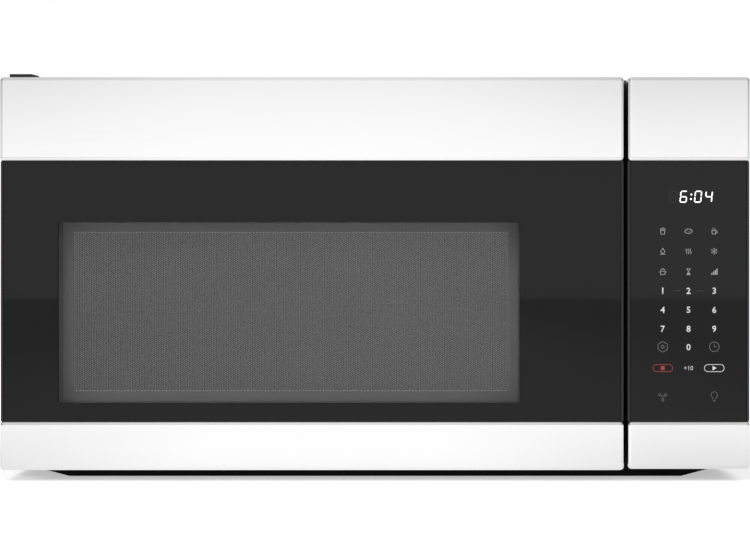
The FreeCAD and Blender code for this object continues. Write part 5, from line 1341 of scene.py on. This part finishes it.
class Symbol(Enum):
    """The small pictures on the touch keys."""

    BAG = "bag"
    TUBER = "tuber"
    CUP = "cup"
    DROP = "drop"
    WAVES = "waves"
    FLAKE = "flake"
    POT = "pot"
    HOURGLASS = "hourglass"
    STEPS = "steps"
    NUT = "nut"
    CLOCK = "clock"
    FAN = "fan"
    BULB = "bulb"

    def draw(self, ink: Ink) -> None:
        """Draws the symbol about the ink's centre."""
        getattr(self, f"draw_{self.value}")(ink)

    def draw_bag(self, ink: Ink) -> None:
        """A paper bag with puffs over its mouth."""
        ink.stroke([(-2.3, 0.9), (-1.7, -3.1), (1.7, -3.1), (2.3, 0.9)], closed=True)
        for x, z in ((-1.5, 1.7), (0.0, 2.3), (1.5, 1.7)):
            ink.stroke(arc(x, z, 0.95, -10.0, 190.0, 10))

    def draw_tuber(self, ink: Ink) -> None:
        """A lumpy oval with three eyes."""
        ink.stroke([(3.6 * math.cos(a) + 0.25 * math.sin(3 * a), 2.3 * math.sin(a))
                    for a in (math.tau * i / 24 for i in range(24))], closed=True)
        for x, z in ((-1.5, 0.5), (0.4, -0.7), (1.6, 0.7)):
            ink.stroke([(x - 0.35, z), (x + 0.35, z)])

    def draw_cup(self, ink: Ink) -> None:
        """A cup with a handle and two wisps of steam."""
        ink.stroke([(-2.5, 0.7), (-2.1, -2.8), (1.3, -2.8), (1.7, 0.7)], closed=True)
        ink.stroke(arc(1.7, -0.9, 1.2, 70.0, -80.0, 8))
        for x in (-1.3, 0.5):
            ink.stroke([(x + 0.3 * math.sin(math.tau * i / 8), 1.4 + 0.25 * i) for i in range(9)], 0.35)

    def draw_drop(self, ink: Ink) -> None:
        """A drop over a line."""
        ink.stroke([(0.0, 3.1)] + arc(0.0, -0.4, 1.9, 155.0, 385.0, 18), closed=True)
        ink.stroke([(-2.6, -3.1), (2.6, -3.1)])

    def draw_waves(self, ink: Ink) -> None:
        """Three rising waves of heat."""
        for x in (-2.1, 0.0, 2.1):
            ink.stroke([(x + 0.55 * math.sin(math.tau * i / 12), -2.8 + 0.45 * i) for i in range(13)])

    def draw_flake(self, ink: Ink) -> None:
        """A six-armed flake of frost."""
        for i in range(6):
            turn = math.tau * i / 6 + math.pi / 6
            along = Vector((math.cos(turn), math.sin(turn)))
            across = Vector((-math.sin(turn), math.cos(turn)))
            ink.stroke([(0.0, 0.0), tuple(along * 3.2)], 0.38)
            fork = (along * 2.9 + across * 0.75, along * 2.0, along * 2.9 - across * 0.75)
            ink.stroke([tuple(p) for p in fork], 0.34)

    def draw_pot(self, ink: Ink) -> None:
        """A lidded pot."""
        ink.stroke([(-2.4, 0.6), (-2.2, -2.8), (2.2, -2.8), (2.4, 0.6)], closed=True)
        ink.stroke(arc(0.0, 0.2, 2.6, 150.0, 30.0, 10))
        ink.stroke([(-0.5, 3.2), (0.5, 3.2)], 0.5)
        for side in (-1, 1):
            ink.stroke([(2.5 * side, -0.3), (3.5 * side, -0.3)])

    def draw_hourglass(self, ink: Ink) -> None:
        """An hourglass."""
        for side in (-1, 1):
            ink.stroke([(-2.0, 3.0 * side), (2.0, 3.0 * side)])
            ink.stroke([(-1.6, 2.8 * side), (0.0, 0.0), (1.6, 2.8 * side)])
        ink.fill([(-1.1, -2.7), (1.1, -2.7), (0.0, -1.2)])

    def draw_steps(self, ink: Ink) -> None:
        """Four rising bars."""
        for i in range(4):
            x, tall = -3.0 + 1.75 * i, 1.6 + 1.5 * i
            ink.fill([(x, -3.0), (x + 1.0, -3.0), (x + 1.0, -3.0 + tall), (x, -3.0 + tall)])

    def draw_nut(self, ink: Ink) -> None:
        """A rounded hexagon round a small ring, for settings."""
        outline = []
        for turn in range(30, 390, 60):
            x, z = 4.3 * math.cos(math.radians(turn)), 4.3 * math.sin(math.radians(turn))
            outline += arc(x, z, 1.0, turn - 28, turn + 28, 4)
        ink.stroke(outline, 0.6, closed=True)
        ink.stroke(ring(0.0, 0.0, 1.5), 0.6, closed=True)

    def draw_clock(self, ink: Ink) -> None:
        """A clock face at three."""
        ink.stroke(ring(0.0, 0.0, 4.9, 36), 0.6, closed=True)
        ink.stroke([(0.0, 3.0), (0.0, 0.0), (2.6, 0.0)], 0.5)

    def draw_fan(self, ink: Ink) -> None:
        """Three narrow blades."""
        for i in range(3):
            turn = Matrix.Rotation(math.tau * i / 3 - math.pi / 2, 2)
            blade = [(0.9, 0.0)] + arc(3.5, 0.0, 1.15, -120.0, 120.0, 12)
            ink.stroke([tuple(turn @ Vector(p)) for p in blade], 0.5, closed=True)

    def draw_bulb(self, ink: Ink) -> None:
        """A lamp bulb."""
        ink.stroke([(-1.3, -2.6)] + arc(0.0, 1.8, 3.1, 222.0, -42.0, 24) + [(1.3, -2.6)], 0.5)
        ink.stroke([(-1.3, -3.7), (1.3, -3.7)], 0.5)
        ink.stroke([(-0.8, -4.7), (0.8, -4.7)], 0.5)


@dataclass
class TouchKeys:
    """The printed keys of the control glass and its lit display, in millimetres."""

    column: float = 26.1
    first_row: float = 131.2
    row: float = 19.3
    label_rows: tuple[float, ...] = (70.8, 91.1, 111.9)
    action_row: float = 209.5
    last_row: float = 238.4
    digit_tall: float = 6.5
    display_row: float = 35.9
    segment: float = 1.1
    segment_gap: float = 0.3
    lit_tall: float = 12.1
    lit_wide: float = 7.3
    slant: float = 0.1
    zero_lift: float = 0.8
    icon_lift: float = 1.2
    ten_tall: float = 4.6
    dash_column: float = 0.46
    dash_half: float = 3.7
    pill_half: float = 6.4
    pill_radius: float = 3.6
    digits_across: tuple[float, ...] = (-5.0, 9.7, 20.6)
    unlit_across: float = -15.8
    colon_across: float = 2.7
    colon_half: float = 2.3
    colon_dot: float = 0.9

    def build(self) -> None:
        """Prints the keys and lights the display."""
        low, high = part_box("control_glass")
        self.middle = (low.x + high.x) / 2
        self.top = high.z
        self.front = low.y
        self.print_numbers()
        self.print_labels()
        self.print_icons()
        self.print_stop_and_start()
        self.light_display()

    def at(self, ink: Ink, column: float, below: float) -> Ink:
        """Moves the ink to a key.

        Args:
            ink: the ink.
            column: columns to the right of the middle one.
            below: how far under the glass's top, in millimetres.

        Returns:
            The same ink.
        """
        ink.centre = (self.middle + column * self.column * MM, self.top - below * MM)
        return ink

    def set_down(self, ink: Ink, name: str, finish: Finish) -> None:
        """Turns the ink's marks into a piece.

        Args:
            ink: the marks.
            name: the piece's name.
            finish: the ink's finish.
        """
        place_piece(ink.mesh(self.front, finish), name, "cabinet")

    def print_numbers(self) -> None:
        """Prints 1 to 9 in three rows, 0 under them and +10 on its own key."""
        ink = Ink()
        for number in range(1, 10):
            row, column = divmod(number - 1, 3)
            self.at(ink, column - 1, self.first_row + row * self.row).text(str(number), self.digit_tall)
        self.at(ink, 0, self.first_row + 3 * self.row - self.zero_lift).text("0", self.digit_tall)
        self.set_down(ink, "key_numbers", Finishes.white_ink)
        ink = Ink()
        self.at(ink, 0, self.action_row).text("+10", self.ten_tall)
        self.set_down(ink, "key_ten_more", Finishes.label_ink)

    def print_labels(self) -> None:
        """Prints a small picture on each of the nine cooking keys."""
        ink = Ink()
        symbols = iter((Symbol.BAG, Symbol.TUBER, Symbol.CUP, Symbol.DROP, Symbol.WAVES, Symbol.FLAKE,
                        Symbol.POT, Symbol.HOURGLASS, Symbol.STEPS))
        for below in self.label_rows:
            for column in (-1, 0, 1):
                next(symbols).draw(self.at(ink, column, below))
        self.set_down(ink, "key_pictures", Finishes.label_ink)

    def print_icons(self) -> None:
        """Prints the grey pictures and the dashes between 1, 2 and 3."""
        ink = Ink()
        below = self.first_row + 3 * self.row - self.icon_lift
        Symbol.NUT.draw(self.at(ink, -1, below))
        Symbol.CLOCK.draw(self.at(ink, 1, below))
        Symbol.FAN.draw(self.at(ink, -1, self.last_row))
        Symbol.BULB.draw(self.at(ink, 1, self.last_row))
        self.set_down(ink, "key_icons", Finishes.icon_ink)
        ink = Ink()
        for column in (-self.dash_column, self.dash_column):
            dash = [(-self.dash_half, 0.0), (self.dash_half, 0.0)]
            self.at(ink, column, self.first_row).stroke(dash, 0.5)
        self.set_down(ink, "key_dashes", Finishes.faint_ink)

    def print_stop_and_start(self) -> None:
        """Prints a red square for stop and a white triangle for start, each in a rounded frame."""
        for column, name, finish, slot in ((-1, "stop_key", Finishes.red_ink, "red_plastic"),
                                           (1, "start_key", Finishes.white_ink, "white_plastic")):
            ink = self.at(Ink(), column, self.action_row)
            right_end = arc(self.pill_half, 0.0, self.pill_radius, -90.0, 90.0, 10)
            left_end = arc(-self.pill_half, 0.0, self.pill_radius, 90.0, 270.0, 10)
            ink.stroke(right_end + left_end, 0.55, closed=True)
            if column < 0:
                ink.fill([(-2.0, -2.0), (2.0, -2.0), (2.0, 2.0), (-2.0, 2.0)])
            else:
                ink.fill([(-1.7, -2.3), (2.4, 0.0), (-1.7, 2.3)])
            self.set_down(ink, name, finish)

    def light_display(self) -> None:
        """Lights 6:04, with an unlit digit before it."""
        lit, unlit = Ink(), Ink()
        digits = [(number, across, lit) for number, across in zip("604", self.digits_across)]
        for number, across, ink in digits + [("8", self.unlit_across, unlit)]:
            ink.centre = (self.middle + across * MM, self.top - self.display_row * MM)
            self.draw_digit(ink, number)
        lit.centre = (self.middle + self.colon_across * MM, self.top - self.display_row * MM)
        for z in (self.colon_half, -self.colon_half):
            lit.fill(ring(z * self.slant, z, self.colon_dot, 12))
        self.set_down(lit, "display_digits", Finishes.digit_light)
        self.set_down(unlit, "display_unlit", Finishes.digit_off)

    def draw_digit(self, ink: Ink, number: str) -> None:
        """Draws one digit of seven slanted bars.

        Args:
            ink: the ink, at the digit's middle.
            number: the digit.
        """
        bars = {"0": "abcdef", "4": "bcfg", "6": "acdefg", "8": "abcdefg"}[number]
        half_x, half_z = self.lit_wide / 2 - self.segment / 2, self.lit_tall / 2 - self.segment / 2
        corner = {"nw": (-half_x, half_z), "ne": (half_x, half_z), "w": (-half_x, 0.0), "e": (half_x, 0.0),
                  "sw": (-half_x, -half_z), "se": (half_x, -half_z)}
        ends = {"a": ("nw", "ne"), "b": ("ne", "e"), "c": ("e", "se"), "d": ("sw", "se"), "e": ("w", "sw"),
                "f": ("nw", "w"), "g": ("w", "e")}
        for bar in bars:
            start, end = (Vector(corner[name]) for name in ends[bar])
            along = (end - start).normalized()
            across = Vector((-along.y, along.x)) * self.segment / 2
            tip, gap = along * self.segment / 2, along * self.segment_gap
            outline = [start + gap, start + gap + tip + across, end - gap - tip + across, end - gap,
                       end - gap - tip - across, start + gap + tip - across]
            ink.fill([(p.x + p.y * self.slant, p.y) for p in outline])


# ---------------------------------------------------------------- other fine pieces


@dataclass
class GreaseFilters:
    """Expanded aluminium in each filter's frame, over a dark sheet of painted shade that shows between its
    strands.
    """

    diamond_long: float = 8.4 * MM
    diamond_short: float = 4.6 * MM
    strand: float = 0.75 * MM
    border: float = 8.0 * MM
    skin: float = 0.5 * MM
    pad: float = 0.98 * MM
    backing: float = 0.08 * MM

    def build(self) -> None:
        """Lays a mesh under each filter's pad, with a dark sheet between them that paints the shade of its
        depth.
        """
        recipe = ExpandedMetal()
        for side in ("left", "right"):
            low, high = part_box(f"grease_filter_{side}")
            columns = int((high.x - low.x - 2 * self.border) / (self.diamond_short / 2))
            rows = int((high.y - low.y - 2 * self.border) / self.diamond_long)
            mesh = recipe.grow(
                Finishes.aluminium, Diamond_Long=self.diamond_long, Diamond_Short=self.diamond_short,
                Strand=self.strand, Columns=columns, Rows=rows,
            )
            middle = (low + high) / 2
            mesh.transform(Matrix.Translation((middle.x, middle.y, low.z + self.skin)))
            place_piece(mesh, f"filter_mesh_{side}", f"filter_{side}")
            # a dark sheet as painted shade for the filter's depth, seen between the strands
            bm = bmesh.new()
            add_block(bm, (low.x + self.border, low.y + self.border, low.z + self.pad - self.backing),
                      (high.x - self.border, high.y - self.border, low.z + self.pad))
            dark = mesh_of(bm, Finishes.filter_depth)
            place_piece(dark, f"filter_depth_{side}", f"filter_{side}")


@dataclass
class Fasteners:
    """Screws with cross recesses in the case, the grille and the oven's face."""

    head_radius: float = 4.0 * MM
    head_height: float = 1.8 * MM
    small_radius: float = 3.0 * MM
    flat_height: float = 0.9 * MM
    recess: float = 2.6 * MM
    slot: float = 0.7 * MM
    from_edge: float = 12.0 * MM
    from_corner: float = 48.0 * MM
    grille_bar: float = 240.0 * MM

    def build(self) -> None:
        """Sets every screw, the case's own in place of their plain heads."""
        recipe = CrossScrews()
        low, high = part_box("case_screws")
        xs = (low.x + self.head_radius, high.x - self.head_radius)
        ys = (low.y + self.head_radius, high.y - self.head_radius)
        places = [(x, y, low.z) for x in xs for y in ys]
        mesh = recipe.grow(Finishes.zinc, places, Head_Radius=self.head_radius,
                           Head_Height=self.head_height)
        place_piece(mesh, "case_cross_screws", "cabinet", ["case_screws"])
        small = {"Head_Radius": self.small_radius, "Head_Height": self.flat_height, "Recess": self.recess,
                 "Slot": self.slot}
        self.build_side_screws(recipe, small)
        self.build_grille_screws(recipe, small)
        self.build_face_screws(recipe, small)

    def build_side_screws(self, recipe: CrossScrews, small: dict[str, float]) -> None:
        """Sets the flat screws along the front and rear edges of the case's sides.

        Args:
            recipe: what a screw is grown from.
            small: the sizes of a small flat screw.
        """
        low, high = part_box("outer_case")
        heights = (low.z + self.from_corner, (low.z + high.z) / 2, high.z - self.from_corner)
        edges = (low.y + self.from_edge, high.y - self.from_edge)
        for name, x, turn in (("left", low.x, -math.pi / 2), ("right", high.x, math.pi / 2)):
            places = [(x, y, z) for y in edges for z in heights]
            mesh = recipe.grow(Finishes.dark_zinc, places, Turn_Y=turn, **small)
            place_piece(mesh, f"side_screws_{name}", "cabinet")

    def build_grille_screws(self, recipe: CrossScrews, small: dict[str, float]) -> None:
        """Sets the screws in the bars of the exhaust grille.

        Args:
            recipe: what a screw is grown from.
            small: the sizes of a small flat screw.
        """
        low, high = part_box("vent_grille")
        places = [(x, (low.y + high.y) / 2, high.z) for x in (-self.grille_bar, 0.0, self.grille_bar)]
        mesh = recipe.grow(Finishes.dark_zinc, places, **small)
        place_piece(mesh, "grille_screws", "cabinet")

    def build_face_screws(self, recipe: CrossScrews, small: dict[str, float]) -> None:
        """Sets the screws of the face that the door closes on.

        Args:
            recipe: what a screw is grown from.
            small: the sizes of a small flat screw.
        """
        low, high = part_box("front_plate")
        opening_low, opening_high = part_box("cavity_wrap")
        left, right = (low.x + opening_low.x) / 2, (opening_high.x + high.x) / 2 + self.from_edge
        middle = (opening_low.x + opening_high.x) / 2
        above, below = high.z - self.from_edge, (low.z + opening_low.z) / 2
        spots = ((left, opening_low.z), (left, opening_high.z + self.from_corner),
                 (middle, above), (middle, below), (right, above), (right, below))
        places = [(x, low.y, z) for x, z in spots]
        mesh = recipe.grow(Finishes.zinc, places, Turn_X=math.pi / 2, **small)
        place_piece(mesh, "face_screws", "cabinet")


@dataclass
class CavityHoles:
    """The fields of drawn holes on the cavity's walls, for the lamp's light and the moving air."""

    wall: float = 0.8 * MM
    proud: float = 0.04 * MM
    lamp_field: float = 15.0 * MM
    air_field: float = 26.0 * MM
    air_drop: float = 70.0 * MM

    def build(self) -> None:
        """Lays the discs on the right wall by the lamp and under it, and on the left wall."""
        recipe = PiercedField()
        low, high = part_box("cavity_wrap")
        lamp_low, lamp_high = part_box("cavity_lamp")
        y, z = (lamp_low.y + lamp_high.y) / 2, (lamp_low.z + lamp_high.z) / 2
        left, right = low.x + self.wall + self.proud, high.x - self.wall - self.proud
        fields = (
            ("lamp_holes", right, y, z, self.lamp_field),
            ("inlet_holes", right, y, z - self.air_drop, self.air_field),
            ("outlet_holes", left, (low.y + high.y) / 2, z - self.air_drop, self.air_field),
        )
        for name, x, along, up, radius in fields:
            # dark discs as painted shade where the holes open onto the gap behind the wall
            mesh = recipe.grow(Finishes.pierced, Field_Radius=radius)
            mesh.transform(Matrix.Translation((x, along, up)) @ Matrix.Rotation(math.pi / 2, 4, "Y"))
            place_piece(mesh, name, "cabinet")


@dataclass
class TrayGlass:
    """The ribs moulded into the underside of the glass tray."""

    ribs: int = 72
    ring_radius: float = 132.0 * MM
    underside: float = 68.3 * MM

    def build(self) -> None:
        """Sets a ring of ribs under the tray."""
        low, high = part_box("glass_tray")
        middle = (low + high) / 2
        mesh = RadialRibs().grow(Finishes.clear, Ribs=self.ribs, Ring_Radius=self.ring_radius)
        mesh.transform(Matrix.Translation((middle.x, middle.y, self.underside)))
        place_piece(mesh, "tray_ribs", "tray")


# ---------------------------------------------------------------- everything


def clear_starter_objects(parts: Iterable[bpy.types.Object], bodies: Iterable[bpy.types.Object]) -> None:
    """Removes what a new file holds besides the frame.

    Args:
        parts: the CAD parts.
        bodies: the bodies that they ride on.
    """
    kept = set(parts) | set(bodies)
    for thing in list(bpy.context.scene.objects):
        if thing not in kept:
            bpy.data.objects.remove(thing)


def dress_parts(frame: dict[str, Any], window: WindowGlass) -> None:
    """Gives every CAD part the finish of its slot, and a few their own.

    Args:
        frame: the loaded frame.
        window: the door glass's finish.
    """
    finishes = Finishes.of_slots(window)
    for entry in frame["record"]["subparts"]:
        dress(frame["nodes"][entry["node"]], finishes[entry["material_slot"]])
    # the base pan gets a darker black than its slot's: its own black with painted shade
    dress(frame["nodes"]["base_pan"], Finishes.pan)
    dress(frame["nodes"]["inner_window"], Finishes.inner_film)
    dress(frame["nodes"]["cooktop_lamp_lens"], Finishes.lens)
    LOG.info("dressed %d parts", len(frame["nodes"]))


def main() -> None:
    """Builds the studio, dresses the parts and adds the fine pieces."""
    logging.basicConfig(level=logging.INFO, format="%(name)s: %(message)s")
    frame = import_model()
    clear_starter_objects(frame["nodes"].values(), frame["bodies"].values())
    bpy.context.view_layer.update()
    window = DoorWindow()
    dress_parts(frame, window.glass())
    Studio().build()
    window.build()
    TouchKeys().build()
    GreaseFilters().build()
    Fasteners().build()
    CavityHoles().build()
    TrayGlass().build()


if __name__ == "__main__":
    main()
